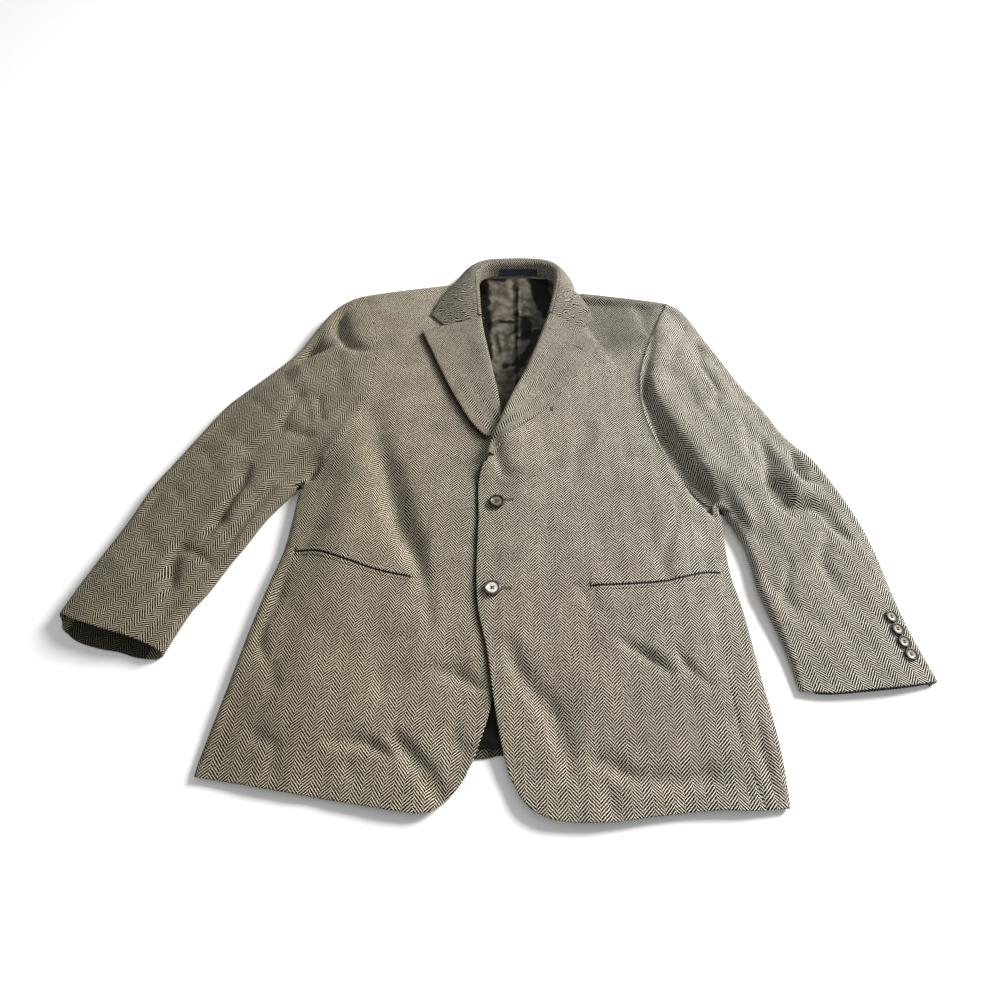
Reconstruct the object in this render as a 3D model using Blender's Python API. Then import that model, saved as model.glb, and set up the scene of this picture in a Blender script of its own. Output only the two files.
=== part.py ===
"""A man's tweed hacking jacket, buttoned and laid flat on its back.

Metres, +Z up. The hem points to -Y and the collar to +Y. Left and right are the
wearer's, so the left front lies at +X. The sizes below are millimetres. The jacket
rests on z = 0. Its tables are measured from the lowest point of the hem (y = 0) and
from the lap of the two fronts (x = 0), and ORIGIN moves the middle of the garment's
box to the frame's origin at the end.
"""

import math

import bpy
import numpy as np
from mathutils import Vector
from mathutils.geometry import delaunay_2d_cdt

MM = 0.001
ORIGIN = (-14.0, 435.0)

# ---------------------------------------------------------------- driving sizes
WALL = 2.0               # one body cloth with its lining
LAPEL_WALL = 2.6         # lapel, collar fall and collar stand
LINING_WALL = 1.0
SEAM_GAP = 0.5           # between two panels that are sewn together
LAY_GAP = 0.5            # between a piece and the panel that it lies on
LAPEL_GAP = 0.8          # the same under and over a lapel
JET_GAP = 0.8
FLANGE = 12.0            # cloth that turns under at a folded side before its seam
SHOULDER_FLANGE = 5.0    # the same along the shoulder and the top of the sleeve
LATTICE = 30.0           # spacing of a panel's inner points
UNDER_LATTICE = 90.0     # the same on the level panels underneath
FAR = 1e6
ROLL_STEPS = 4           # steps of a half-round fold
STEP = 14.0              # spacing of points along an outline
FOLD_STEP = 12.0         # the same along a folded side
TRIM_STEP = 16.0         # the same along a lapel or a pocket
COLLAR_STEP = 18.0
RUN_ON = 40.0            # how far a far or under edge runs on, to cross its neighbours
BODY_REACH = 70.0        # how far in from a fold the body reaches its full height
SLEEVE_REACH = 44.0
BLEND_AT_ARMHOLE = 85.0  # how far a sleeve takes to change from body height to its own
FOLD_CLEAR = 18.0        # a soft fold fades out this far from a folded side
LAP_SHIFT = 6.0          # the left front starts to come down this far past the edge under it
LAP_FADE = 60.0
LAP_RAISE = 2.7          # left front over right front
BREAK_RAISE = 10.2       # the same where both lapels' rolls lie between them
LAP_FROM = (20.0, 110.0)       # heights between which the lap rises from the hem
BREAK_FROM = (385.0, 425.0)    # and between which it takes the lapels in
LAP_UNTIL = (530.0, 610.0)     # and between which it ends
JET_WIDTH = 4.6
JET_SLIT = 1.4
JET_WALL = 1.2
BUTTON_FRONT = 20.0
BUTTON_CUFF = 15.0
LEAF_COLUMNS = 9
STAND_COLUMNS = 7
LAPEL_FACETS = 7
LAPEL_FLANGE = 16.0      # how far a lapel turns under its front as facing
COLLAR_ROLL = 5.5        # where the collar's fall and stand meet, out from the inner fold
SEAM_LEAN = 0.02         # how fast two pieces part along a seam that goes under a fold
LAPEL_REST = (9.0, 26.0, 44.0)
LAPEL_SETTLE = 30.0      # how far from its roll a lapel comes down to its front
LABEL_SPAN = (-1.0, 61.0)
LABEL_COLUMNS = (3, 6)
NECK_LINING = (497.0, 820.0)   # lowest and highest point of the back lining in the neck
NECK_TUCK = 14.0         # how far that lining runs under the edges of the fronts
NECK_DRAW_IN = 22.0      # how much narrower it is between the shoulders
NECK_DRAW_FROM = (725.0, 765.0)  # heights between which it narrows
NECK_SIDE_RISE = 5.0     # how far it comes up the fronts, below the shoulders
NECK_SIDE_UNTIL = (740.0, 800.0)
NECK_STAND_RISE = 3.6    # how far it comes up the collar stand
NECK_STAND_FROM = (780.0, 820.0)
CENTRE_PLEAT = 1.6
PLEAT_PLACE = (0.1, 0.18)      # its middle and width, as shares of half the lining
NECK_GRID = (14, 9)
NECK_LAPEL_ROWS = 11     # the first row of an edge table that borders the neck opening
HEM_LINING = ((-70.0, 52.0), (74.0, 190.0))
HEM_LINING_WAVE = 0.8
HEM_LINING_WAVE_LENGTH = 11.0
HEM_LINING_GRID = (6, 9)
CUFF_FACING = 30.0
CUFF_LINING_LENGTH = 60.0
CUFF_LINING_ENDS = ((-507.0, 216.5), (-401.0, 181.5))
CUFF_LINING_SAG = 2.5
CUFF_LINING_GRID = (5, 7)
SLEEVE_SLANT = 0.28      # how far the sleeve runs inwards for each millimetre up it
COLLAR_FOOT = {"left": 80.0, "right": -30.0}   # the collar lies on the shoulders past these x
NECK_BACK_FROM = 800.0   # the collar stand's back lies above this height
WAIST_ENDS = {
    "left": ((320, 284), (40, 257), (-60, 264)),
    "right": ((-320, 312), (-40, 258), (60, 262)),
}


def table(columns, *rows):
    """The rows of a size table, as one array for each named column."""
    return dict(zip(columns.split(), np.array(rows, float).T))


# Height of the laid cloth above the table on the middle of the body and of each sleeve.
CROWN = table(
    "y    body  sleeve_left  sleeve_right",
    (-20,  9.5,        10.0,         24.0),
    (40,  11.0,        10.0,         24.0),
    (130, 15.5,        10.0,         25.0),
    (200, 19.0,        13.0,         26.0),
    (300, 25.0,        18.0,         21.0),
    (400, 30.0,        21.0,         22.0),
    (500, 34.0,        23.0,         24.0),
    (600, 36.0,        27.0,         27.0),
    (700, 35.0,        32.0,         31.0),
    (830, 33.0,        34.0,         33.0),
)

# Folded outlines: the extreme edge of the cloth in plan, and the radius it rolls round.
SIDE_LEFT = table(
    "x     y   radius",
    (290, -14, 3.6), (293,  22, 3.8), (295,  60, 4.6), (294, 100, 5.4), (290, 150, 6.2),
    (286, 220, 7.0), (280, 270, 7.0), (280, 310, 7.0), (282, 340, 7.0), (284, 364, 7.0),
)
SIDE_RIGHT = table(
    "x     y   radius",
    (-316,  10, 3.6), (-315,  48, 3.8), (-308,  92, 4.8), (-299, 144, 5.8),
    (-291, 193, 6.4), (-279, 255, 7.0), (-268, 304, 7.0), (-265, 342, 7.0),
    (-264, 374, 7.0), (-263, 403, 7.0),
)
INNER_LEFT = table(
    "x     y   radius",
    (284, 364, 7.0), (294, 343, 7.0), (303, 315, 7.0), (307, 287, 7.0), (308, 255, 7.0),
    (317, 213, 6.0), (325, 176, 4.8), (329, 143, 4.0), (333, 115, 4.0),
)
INNER_RIGHT = table(
    "x     y   radius",
    (-263, 403, 7.0), (-297, 355, 7.0), (-316, 316, 7.0), (-330, 290, 7.0),
    (-348, 250, 8.0), (-361, 228, 9.0), (-371, 202, 9.0), (-380, 175, 9.0),
    (-389, 148, 9.0),
)
# From the neck along the shoulder, round the sleeve head and down the sleeve.
UPPER_LEFT = table(
    "x     y   radius",
    (92,  762, 13.0), (140, 757, 13.0), (188, 751, 13.0), (232, 746, 13.0),
    (266, 741, 13.0), (287, 727, 12.0), (303, 692, 11.0), (324, 644, 9.0),
    (350, 580, 8.0), (374, 530, 8.0), (388, 496, 7.0), (401, 473, 7.0),
    (420, 450, 7.0), (434, 419, 7.0), (450, 372, 7.0), (460, 328, 7.0),
    (465, 285, 6.4), (468, 240, 5.8), (475, 192, 4.8), (486, 142, 4.2),
    (492, 114, 4.0),
)
UPPER_RIGHT = table(
    "x     y   radius",
    (-40,  789, 13.0), (-70, 783, 13.0), (-130, 774, 13.0), (-190, 764, 13.0),
    (-226, 757, 13.0), (-248, 744, 12.5), (-264, 724, 12.0), (-284, 686, 10.0),
    (-295, 657, 8.5), (-303, 633, 8.0), (-318, 613, 8.0), (-345, 583, 8.0),
    (-370, 559, 8.0), (-390, 537, 8.0), (-414, 488, 8.0), (-438, 437, 8.0),
    (-456, 399, 8.0), (-473, 342, 8.0), (-490, 294, 8.5), (-503, 255, 9.0),
    (-514, 219, 9.0), (-524, 186, 9.0),
)

# Seams in plan.
ARMHOLE_LEFT = table(
    "x     y",
    (278, 369), (258, 386), (233, 422), (213, 463), (202, 503), (199, 545),
    (201, 580), (210, 616), (224, 655), (241, 697), (256, 729),
)
ARMHOLE_RIGHT = table(
    "x     y",
    (-257, 408), (-243, 422), (-220, 455), (-199, 500), (-185, 548), (-180, 602),
    (-184, 652), (-194, 697), (-209, 745),
)
SEAM_LEFT = table(
    "x     y",
    (268, -14), (265, 20), (257, 60), (253, 110), (251, 170), (250, 230), (248, 290),
    (243, 345), (236, 395), (226, 440),
)
SEAM_RIGHT = table(
    "x     y",
    (-287,  10), (-284, 45), (-276, 95), (-267, 145), (-257, 195), (-246, 255),
    (-237, 305), (-232, 350), (-231, 400), (-236, 450),
)
CENTRE_BACK = table("x  y", (-12, 30), (-8, 200), (8, 450), (20, 650), (28, 860))

# Open edges in plan.
HEM_LEFT = table(
    "x     y",
    (14,  34), (23,  20), (38,   8), (62,   1), (107,  0), (160,   6), (214,  13),
    (256, 15), (290, 16), (340, 17),
)
HEM_RIGHT = table(
    "x     y",
    (-35,  44), (-45,  31), (-57,  20), (-74,  12), (-101, 12), (-204, 30),
    (-260, 38), (-312, 46), (-360, 53),
)
HEM_BACK = table(
    "x     y",
    (-360, 53), (-300, 49), (-200, 52), (-100, 58), (-10, 62), (100, 52), (200, 33),
    (290, 19), (340, 14),
)
# Front edge, then the edge that lies inside the roll of the lapel, then the neckline.
EDGE_LEFT = table(
    "x     y",
    (14,  34), (7,   50), (-2,  90), (-9, 133), (-15, 175), (-24, 214), (-28, 250),
    (-28, 300), (-27, 345), (-28, 385), (-24, 412), (-13, 432), (-4, 459), (11, 502),
    (25, 543), (40, 583), (54, 623), (66, 661), (82, 695), (91, 712), (93, 742),
    (97, 774), (113, 792), (115, 830),
)
EDGE_RIGHT = table(
    "x     y",
    (-35,  44), (-27,  60), (-15,  94), (-6, 130), (2,  170), (8,  210), (11, 250),
    (13,  300), (15,  345), (14,  390), (9, 430), (5, 465), (0, 503), (-7, 547),
    (-14, 587), (-21, 627), (-27, 661), (-36, 690), (-43, 706), (-43, 742),
    (-45, 800), (-64, 818), (-66, 860),
)
NECK_BACK = table(
    "x     y",
    (-52, 700), (-50, 750), (-46, 785), (-36, 810), (-14, 823), (28, 827), (68, 823),
    (92, 806), (101, 770), (104, 700),
)
CUFF_LEFT = table(
    "x     y",
    (300, 130), (333, 131), (365, 129), (403, 132), (445, 136), (486, 142), (530, 148),
)
CUFF_RIGHT = table(
    "x     y",
    (-560, 236), (-516, 220), (-486, 209), (-456, 199), (-427, 191), (-404, 184),
    (-384, 174), (-330, 154),
)
UNDER_CUFF_RIGHT = table(
    "x     y",
    (-560, 240), (-520, 223), (-508, 206), (-490, 192), (-463, 183), (-436, 178),
    (-416, 172), (-396, 169), (-376, 166), (-330, 154),
)

# Lapels from the break up to the gorge: the roll line, the outer edge, the roll's radius.
LAPEL_LEFT = table(
    "roll_x roll_y edge_x edge_y radius",
    (-18, 432,  -8, 431, 4.8),
    (-10, 460,  11, 461, 5.0),
    (5,   503,  49, 499, 5.6),
    (20,  544,  77, 533, 6.0),
    (35,  584, 103, 567, 6.0),
    (49,  624, 124, 599, 6.0),
    (61,  662, 139, 630, 6.0),
    (73,  702, 146, 647, 5.8),
)
LAPEL_RIGHT = table(
    "roll_x roll_y edge_x edge_y radius",
    (10,  461, -20, 464, 4.6),
    (7,   480, -35, 481, 4.6),
    (3,   503, -48, 503, 4.8),
    (-3,  547, -69, 547, 6.0),
    (-10, 587, -85, 585, 6.0),
    (-17, 627, -98, 618, 6.0),
    (-23, 661, -109, 644, 6.0),
    (-28, 697, -114, 659, 5.8),
)
LAPEL_COLUMNS = ("roll_x", "roll_y", "edge_x", "edge_y", "radius")
NOTCH_LEFT = (122, 672)
NOTCH_RIGHT = (-83, 674)

# Collar from the right gorge round the back of the neck to the left gorge. The fold is
# the inner edge that shows, its top is `top`; the fall ends at the leaf edge, and the
# stand at the base.
COLLAR = table(
    "fold_x fold_y  top  leaf_x leaf_y leaf_z  base_x base_y base_z",
    (-28,  699, 42.5, -105, 701, 37.0, -38, 700, 28.0),
    (-30,  722, 42.5,  -97, 724, 36.5, -39, 722, 28.0),
    (-32,  748, 42.5,  -86, 750, 34.0, -38, 748, 27.0),
    (-34,  775, 42.5,  -78, 775, 29.0, -36, 775, 23.0),
    (-35,  800, 42.0,  -70, 806, 15.0, -34, 798, 16.0),
    (-31,  818, 41.0,  -58, 838,  6.0, -28, 813, 11.0),
    (-17,  830, 39.5,  -28, 861,  5.0, -15, 823,  9.0),
    (10,   835, 38.5,   10, 868,  4.5,  10, 827,  8.5),
    (48,   835, 38.5,   50, 868,  4.5,  48, 827,  8.5),
    (73,   829, 39.5,   88, 858,  5.0,  71, 822,  9.0),
    (86,   815, 41.0,  112, 833,  6.0,  83, 810, 11.0),
    (89,   797, 42.0,  122, 800, 15.0,  88, 795, 16.0),
    (87,   773, 42.5,  121, 767, 29.0,  89, 772, 23.0),
    (83,   748, 42.5,  128, 740, 34.0,  88, 747, 27.0),
    (78,   725, 42.5,  136, 715, 36.5,  86, 723, 28.0),
    (73,   704, 42.5,  142, 692, 37.0,  83, 700, 28.0),
)

# Hip pocket mouths in plan, from the outer end inwards.
POCKET_LEFT = table(
    "x  y", (266, 272), (246, 271), (217, 263), (188, 257), (151, 254), (106, 252),
)
POCKET_RIGHT = table(
    "x  y",
    (-252, 303), (-236, 302), (-220, 299), (-195, 289), (-158, 276), (-132, 269),
    (-104, 263),
)

BUTTONS = {
    "button_front_upper": (-4, 360, BUTTON_FRONT),
    "button_front_lower": (-9, 243, BUTTON_FRONT),
    "button_cuff_1": (454, 217, BUTTON_CUFF),
    "button_cuff_2": (457, 202, BUTTON_CUFF),
    "button_cuff_3": (460, 187, BUTTON_CUFF),
    "button_cuff_4": (463, 172, BUTTON_CUFF),
}

# A button's section: shares of its radius and of its thickness, from below.
BUTTON_PROFILE = table(
    "out  up",
    (0.70, 0.00), (0.94, 0.25), (1.00, 0.55), (0.95, 0.90), (0.84, 1.00), (0.72, 0.92),
    (0.62, 0.72),
)
BUTTON_SEGMENTS = 16
BUTTON_THICKNESS = 0.17  # share of its diameter
BUTTON_HOLE = 0.11       # share of its radius
BUTTON_HOLE_AWAY = 0.21  # from the middle, share of its radius

# Largest soft folds: a trough (or, with a negative depth, a ridge) along a line in plan.
FOLDS = table(
    "from_x from_y to_x to_y width depth",
    (-300, 640, -262, 640, 14,  5.0),
    (-250, 730, -236, 660, 13,  4.0),
    (-322, 560, -350, 515, 14,  4.5),
    (-356, 520, -348, 500, 10, -2.0),
    (-362, 430, -400, 350, 15,  5.0),
    (-400, 350, -428, 325, 13,  3.5),
    (-395, 400, -375, 352, 12, -3.0),
    (-425, 330, -432, 290, 14,  3.0),
    (388,  470,  412, 415, 12,  5.5),
    (412,  415,  455, 375, 13,  4.5),
    (306,  690,  316, 640, 12,  3.0),
    (285,  420,  303, 370, 11,  3.5),
    (222,  560,  262, 440, 18,  6.0),
    (330,  350,  355, 290, 16,  2.5),
    (150,  190,  205, 165, 16,  2.6),
    (205,  165,  262, 150, 15,  2.2),
    (-100, 420,  -90, 350, 15,  3.2),
    (-130, 640, -140, 520, 16,  2.4),
    (-215, 480, -190, 420, 16,  3.0),
    (60,   440,  150, 400, 22,  1.8),
    (-180, 200, -150, 110, 22,  1.8),
)

TWEED = ((0.30, 0.26, 0.20), 0.92)
SATIN = ((0.085, 0.075, 0.065), 0.45)
NAVY = ((0.020, 0.028, 0.060), 0.70)
HORN = ((0.13, 0.10, 0.075), 0.32)


# ---------------------------------------------------------------- curves in plan
def smooth(rows, step=STEP, columns=("x", "y")):
    """Points about `step` apart on a smooth curve through a table's rows."""
    knots = np.column_stack([rows[name] for name in columns])
    padded = np.vstack([2 * knots[0] - knots[1], knots, 2 * knots[-1] - knots[-2]])
    points = []
    for before, start, end, after in zip(padded, padded[1:], padded[2:], padded[3:]):
        count = max(1, round(np.linalg.norm((end - start)[:2]) / step))
        t = np.arange(count)[:, None] / count
        points.append(
            0.5 * (2 * start + (end - before) * t
                   + (2 * before - 5 * start + 4 * end - after) * t ** 2
                   + (3 * start - before - 3 * end + after) * t ** 3)
        )
    points.append(knots[-1:])
    return np.vstack(points)


def along(rows, name, at):
    """A table's column read at heights `at`, on a smooth curve through its rows."""
    knots, values = rows["y"], rows[name]
    slope = np.gradient(values, knots)
    at = np.clip(at, knots[0], knots[-1])
    i = np.clip(np.searchsorted(knots, at) - 1, 0, len(knots) - 2)
    width = knots[i + 1] - knots[i]
    t = (at - knots[i]) / width
    return ((1 + 2 * t) * (1 - t) ** 2 * values[i] + t * (1 - t) ** 2 * width * slope[i]
            + t * t * (3 - 2 * t) * values[i + 1] + t * t * (t - 1) * width * slope[i + 1])


def ease(share):
    share = np.clip(share, 0.0, 1.0)
    return share * share * (3 - 2 * share)


def rising(at, span):
    """0 before a span and 1 past it, with a smooth change between."""
    return ease((at - span[0]) / (span[1] - span[0]))


def nearest_on(points, line):
    """The foot of each point on a polyline, the segment that it is on, and its share."""
    start, run = line[:-1], np.diff(line, axis=0)
    away = points[:, None, :] - start[None]
    share = np.clip((away * run).sum(2) / (run * run).sum(1), 0, 1)
    feet = start + share[..., None] * run
    gap = ((points[:, None, :] - feet) ** 2).sum(2)
    best = gap.argmin(1)
    row = np.arange(len(points))
    return feet[row, best], best, share[row, best]


class Fold:
    """A folded side of the cloth: its extreme edge in plan, and how wide it rolls."""

    def __init__(self, rows, inside, flange, armpit=None):
        knots = smooth(rows, FOLD_STEP, ("x", "y", "radius"))
        self.line, self.radii, self.flange, self.armpit = knots[:, :2], knots[:, 2], flange, armpit
        self.by_armpit = 1 if armpit == 0 else len(knots) - 2
        tangents = np.gradient(self.line, axis=0)
        self.tangents = tangents / np.linalg.norm(tangents, axis=1)[:, None]
        self.inwards = np.column_stack([-self.tangents[:, 1], self.tangents[:, 0]]) * inside

    def near(self, points):
        """Foot, inward direction, inward distance and roll radius for each point.

        Past an end the fold runs straight on, but at the armpit the cloth isn't folded,
        and a point past it is endlessly far inside."""
        ahead = ((points[:, None] - self.line[None]) * self.tangents[None]).sum(2)
        start, end = ahead[:, :-1], -ahead[:, 1:]
        whole = start + end
        share = np.clip(start / np.where(np.abs(whole) < 1e-6, 1.0, whole), 0, 1)
        feet = self.line[:-1] + share[..., None] * np.diff(self.line, axis=0)
        gap = np.linalg.norm(points[:, None] - feet, axis=2) + FAR * ((start < 0) | (end < 0))
        row, best = np.arange(len(points)), gap.argmin(1)
        foot, share = feet[row, best], share[row, best][:, None]
        inward = self.inwards[best] * (1 - share) + self.inwards[best + 1] * share
        radius = (self.radii[best] * (1 - share[:, 0]) + self.radii[best + 1] * share[:, 0])
        inward /= np.linalg.norm(inward, axis=1)[:, None]
        for place, past in ((0, ahead[:, 0] < 0), (-1, ahead[:, -1] > 0)):
            outside = past & (gap[row, best] > FAR)
            foot[outside] = self.line[place] + self.tangents[place] * ahead[outside, place, None]
            inward[outside] = self.inwards[place]
            if place == self.armpit:
                foot[outside] -= inward[outside] * FAR
        return foot, inward, ((points - foot) * inward).sum(1), radius

    def offset(self, extra, roll, longer=0.0):
        """The fold's edge moved inwards by `extra` mm and `roll` times its radius.

        Each end runs straight on for `longer` mm."""
        moved = self.line + self.inwards * (extra + roll * self.radii)[:, None]
        if not longer:
            return moved
        first, last = self.tangents[0] * longer, self.tangents[-1] * longer
        return np.vstack([moved[0] - first, moved, moved[-1] + last])

    def far_edge(self, longer=0.0):
        """Where the cloth that rolls under ends, on its plan before it is rolled."""
        return self.offset(-self.flange, 1 - math.pi, longer)

    def under_edge(self, longer=0.0):
        """The same edge as it lies, where the under piece begins."""
        return self.offset(self.flange, 1, longer)


SIDES = {"left": Fold(SIDE_LEFT, 1, FLANGE, -1), "right": Fold(SIDE_RIGHT, -1, FLANGE, -1)}
INNERS = {"left": Fold(INNER_LEFT, 1, FLANGE, 0), "right": Fold(INNER_RIGHT, -1, FLANGE, 0)}
UPPERS = {
    "left": Fold(UPPER_LEFT, -1, SHOULDER_FLANGE),
    "right": Fold(UPPER_RIGHT, 1, SHOULDER_FLANGE),
}
ALL_FOLDS = [*SIDES.values(), *INNERS.values(), *UPPERS.values()]
ARMHOLES = {"left": smooth(ARMHOLE_LEFT), "right": smooth(ARMHOLE_RIGHT)}
EDGE_CURVE_RIGHT = smooth(EDGE_RIGHT)


def crossing(first, second):
    """Where two polylines cross, as (place on the first, place on the second, point)."""
    for i, (a, b) in enumerate(zip(first, first[1:])):
        run = b - a
        for j, (c, d) in enumerate(zip(second, second[1:])):
            other = d - c
            area = run[0] * other[1] - run[1] * other[0]
            if abs(area) < 1e-9:
                continue
            t = ((c - a)[0] * other[1] - (c - a)[1] * other[0]) / area
            s = ((c - a)[0] * run[1] - (c - a)[1] * run[0]) / area
            if 0 <= t <= 1 and 0 <= s <= 1:
                return i, j, a + t * run
    raise ValueError(f"outlines from {first[0]} and {second[0]} don't cross")


def closed_outline(curves):
    """One closed outline from curves that cross in turn, each cut at its neighbours."""
    cuts = [crossing(curve, curves[(k + 1) % len(curves)]) for k, curve in enumerate(curves)]
    points = []
    for k, curve in enumerate(curves):
        entry, leave = cuts[k - 1], cuts[k]
        start, end = entry[1], leave[0]
        points.append(entry[2])
        if (end, np.linalg.norm(leave[2] - curve[end])) >= (
            start, np.linalg.norm(entry[2] - curve[start])
        ):
            points.extend(curve[start + 1:end + 1])
        else:
            points.extend(curve[start:end:-1])
    points = np.array(points)
    far = np.linalg.norm(points - np.roll(points, 1, axis=0), axis=1) > 1.2
    points = points[far]
    x, y = points.T
    if (x * np.roll(y, -1) - y * np.roll(x, -1)).sum() < 0:
        points = points[::-1]
    return points


def shrunk(outline, by):
    """A closed outline, anticlockwise, moved inwards by `by`."""
    before = outline - np.roll(outline, 1, axis=0)
    after = np.roll(outline, -1, axis=0) - outline
    normals = []
    for run in (before, after):
        run = run / np.linalg.norm(run, axis=1)[:, None]
        normals.append(np.column_stack([-run[:, 1], run[:, 0]]))
    mean = normals[0] + normals[1]
    scale = np.maximum((mean * normals[0]).sum(1), 0.5)
    return outline + mean * (by / scale)[:, None]


def across(fold, place, distances, lean=0.0):
    """Points square to a fold's edge at one of its points, from the crest outwards.

    `lean` turns the line towards the fold's far end, so that two pieces part under it."""
    tangent, inward = fold.tangents[place], fold.inwards[place]
    crest = fold.line[place] + inward * fold.radii[place]
    return crest + (lean * tangent - inward) * np.array(distances, float)[:, None]


def place_near(fold, point):
    return int(np.linalg.norm(fold.line - point, axis=1).argmin())


OUTWARDS = np.linspace(0, 80, 10)
INWARDS = (0.0, -30.0)


# ---------------------------------------------------------------- heights of the laid cloth
def fold_depth(points):
    depth = np.zeros(len(points))
    for x0, y0, x1, y1, width, deep in zip(*FOLDS.values()):
        foot, _, _ = nearest_on(points, np.array([[x0, y0], [x1, y1]]))
        gap = np.linalg.norm(points - foot, axis=1)
        depth += deep * np.exp(-((gap / width) ** 2))
    return depth


def cloth_top(points, sleeve=None):
    """Height of the upper surface of the body's cloth, or of a sleeve's."""
    distance = np.full(len(points), 1e9)
    radius = np.zeros(len(points))
    for fold in ALL_FOLDS:
        foot, segment, share = nearest_on(points, fold.line)
        own = fold.radii[segment] * (1 - share) + fold.radii[segment + 1] * share
        gap = np.linalg.norm(points - foot, axis=1)
        closer = gap < distance
        distance = np.where(closer, gap, distance)
        radius = np.where(closer, own, radius)
    crown = along(CROWN, "body", points[:, 1])
    reach = BODY_REACH
    if sleeve:
        foot, _, _ = nearest_on(points, ARMHOLES[sleeve])
        share = ease(np.linalg.norm(points - foot, axis=1) / BLEND_AT_ARMHOLE)
        crown += (along(CROWN, "sleeve_" + sleeve, points[:, 1]) - crown) * share
        reach = BODY_REACH + (SLEEVE_REACH - BODY_REACH) * share
    inside = np.maximum(distance - radius, 0)
    rise = ease(inside / reach)
    folds = fold_depth(points) * ease(inside / FOLD_CLEAR)
    top = 2 * radius + (crown - 2 * radius) * rise - folds
    rolled = radius + np.sqrt(np.maximum(radius ** 2 - (radius - distance) ** 2, 0))
    return np.where(distance < radius, rolled, top)


def left_front_raise(points):
    """How far the left front lies above the body's level, over the right front."""
    x, y = points.T
    edge = np.interp(y, EDGE_CURVE_RIGHT[:, 1], EDGE_CURVE_RIGHT[:, 0])
    full = LAP_RAISE + (BREAK_RAISE - LAP_RAISE) * rising(y, BREAK_FROM)
    fade = 1 - ease((x - edge - LAP_SHIFT) / LAP_FADE)
    return full * fade * (1 - rising(y, LAP_UNTIL)) * rising(y, LAP_FROM)


def front_top(points, side):
    top = cloth_top(points)
    return top + left_front_raise(points) if side == "left" else top


# ---------------------------------------------------------------- solids
def material(name, look):
    found = bpy.data.materials.get(name)
    if found:
        return found
    colour, roughness = look
    made = bpy.data.materials.new(name)
    made.use_nodes = True
    shader = made.node_tree.nodes["Principled BSDF"]
    shader.inputs["Base Color"].default_value = (*colour, 1)
    shader.inputs["Roughness"].default_value = roughness
    shader.inputs["Metallic"].default_value = 0
    made.diffuse_color = (*colour, 1)
    return made


def add_solid(name, points, faces, look):
    points = np.array(points, float)
    points[:, :2] -= ORIGIN
    mesh = bpy.data.meshes.new(name)
    mesh.from_pydata((points * MM).tolist(), [], [tuple(map(int, face)) for face in faces])
    mesh.validate()
    made = bpy.data.objects.new(name, mesh)
    mesh.materials.append(material("material_" + name, look))
    mesh.shade_smooth()
    mesh.set_sharp_from_angle(angle=math.radians(40))
    bpy.context.scene.collection.objects.link(made)
    return made


def wall_faces(faces, rim, count):
    """Faces of a closed wall: outer faces, the same turned over inside, and the rim."""
    closed = [tuple(face) for face in faces]
    closed += [tuple(i + count for i in reversed(face)) for face in closed]
    closed += [(b, a, a + count, b + count) for a, b in rim]
    return closed


def within(points, outline):
    x, y = points.T
    inside = np.zeros(len(points), bool)
    for (x0, y0), (x1, y1) in zip(outline, np.roll(outline, -1, axis=0)):
        spans = (y0 > y) != (y1 > y)
        with np.errstate(divide="ignore", invalid="ignore"):
            inside ^= spans & (x < (x1 - x0) * (y - y0) / (y1 - y0) + x0)
    return inside


def inner_points(outline, folds, spacing):
    """Points for a panel's mesh: a lattice, and closer lines along its rolled folds."""
    low, high = outline.min(axis=0), outline.max(axis=0)
    rows = np.arange(low[1], high[1], spacing * 0.87)
    lattice = [
        (x, y)
        for k, y in enumerate(rows)
        for x in np.arange(low[0] + (k % 2) * spacing / 2, high[0], spacing)
    ]
    found = np.array(lattice)
    rolls = []
    for fold in folds:
        found = found[fold.near(found)[2] > fold.near(found)[3] + 0.45 * spacing]
        for k in range(ROLL_STEPS + 1):
            rolls.append(fold.offset(0, 1 - math.pi * k / ROLL_STEPS)[::2])
    chosen = []
    for group, clear in ((found, 0.42 * spacing), (np.vstack(rolls) if rolls else found[:0], 1.5)):
        if len(group):
            foot, _, _ = nearest_on(group, np.vstack([outline, outline[:1]]))
            gap = np.linalg.norm(group - foot, axis=1)
            chosen.append(group[within(group, outline) & (gap > clear)])
    return np.vstack(chosen)


def laid(points, folds, height, depth):
    """Plan points taken to their place in space, `depth` below the outer surface.

    A point further out than the crest of a fold goes round the fold and back
    underneath, as far as it lay beyond the crest."""
    place = np.column_stack([points, height(points) - depth])
    for fold in folds:
        foot, inward, distance, radius = fold.near(points)
        beyond = radius - distance
        angle = np.clip(beyond / radius, 0, math.pi)
        ball = radius - depth
        run = radius - ball * np.sin(angle) + np.maximum(beyond - math.pi * radius, 0)
        rolled = beyond > 0
        around = foot + inward * run[:, None]
        place[rolled, :2] = around[rolled]
        place[rolled, 2] = (radius + ball * np.cos(angle))[rolled]
    return place


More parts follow.
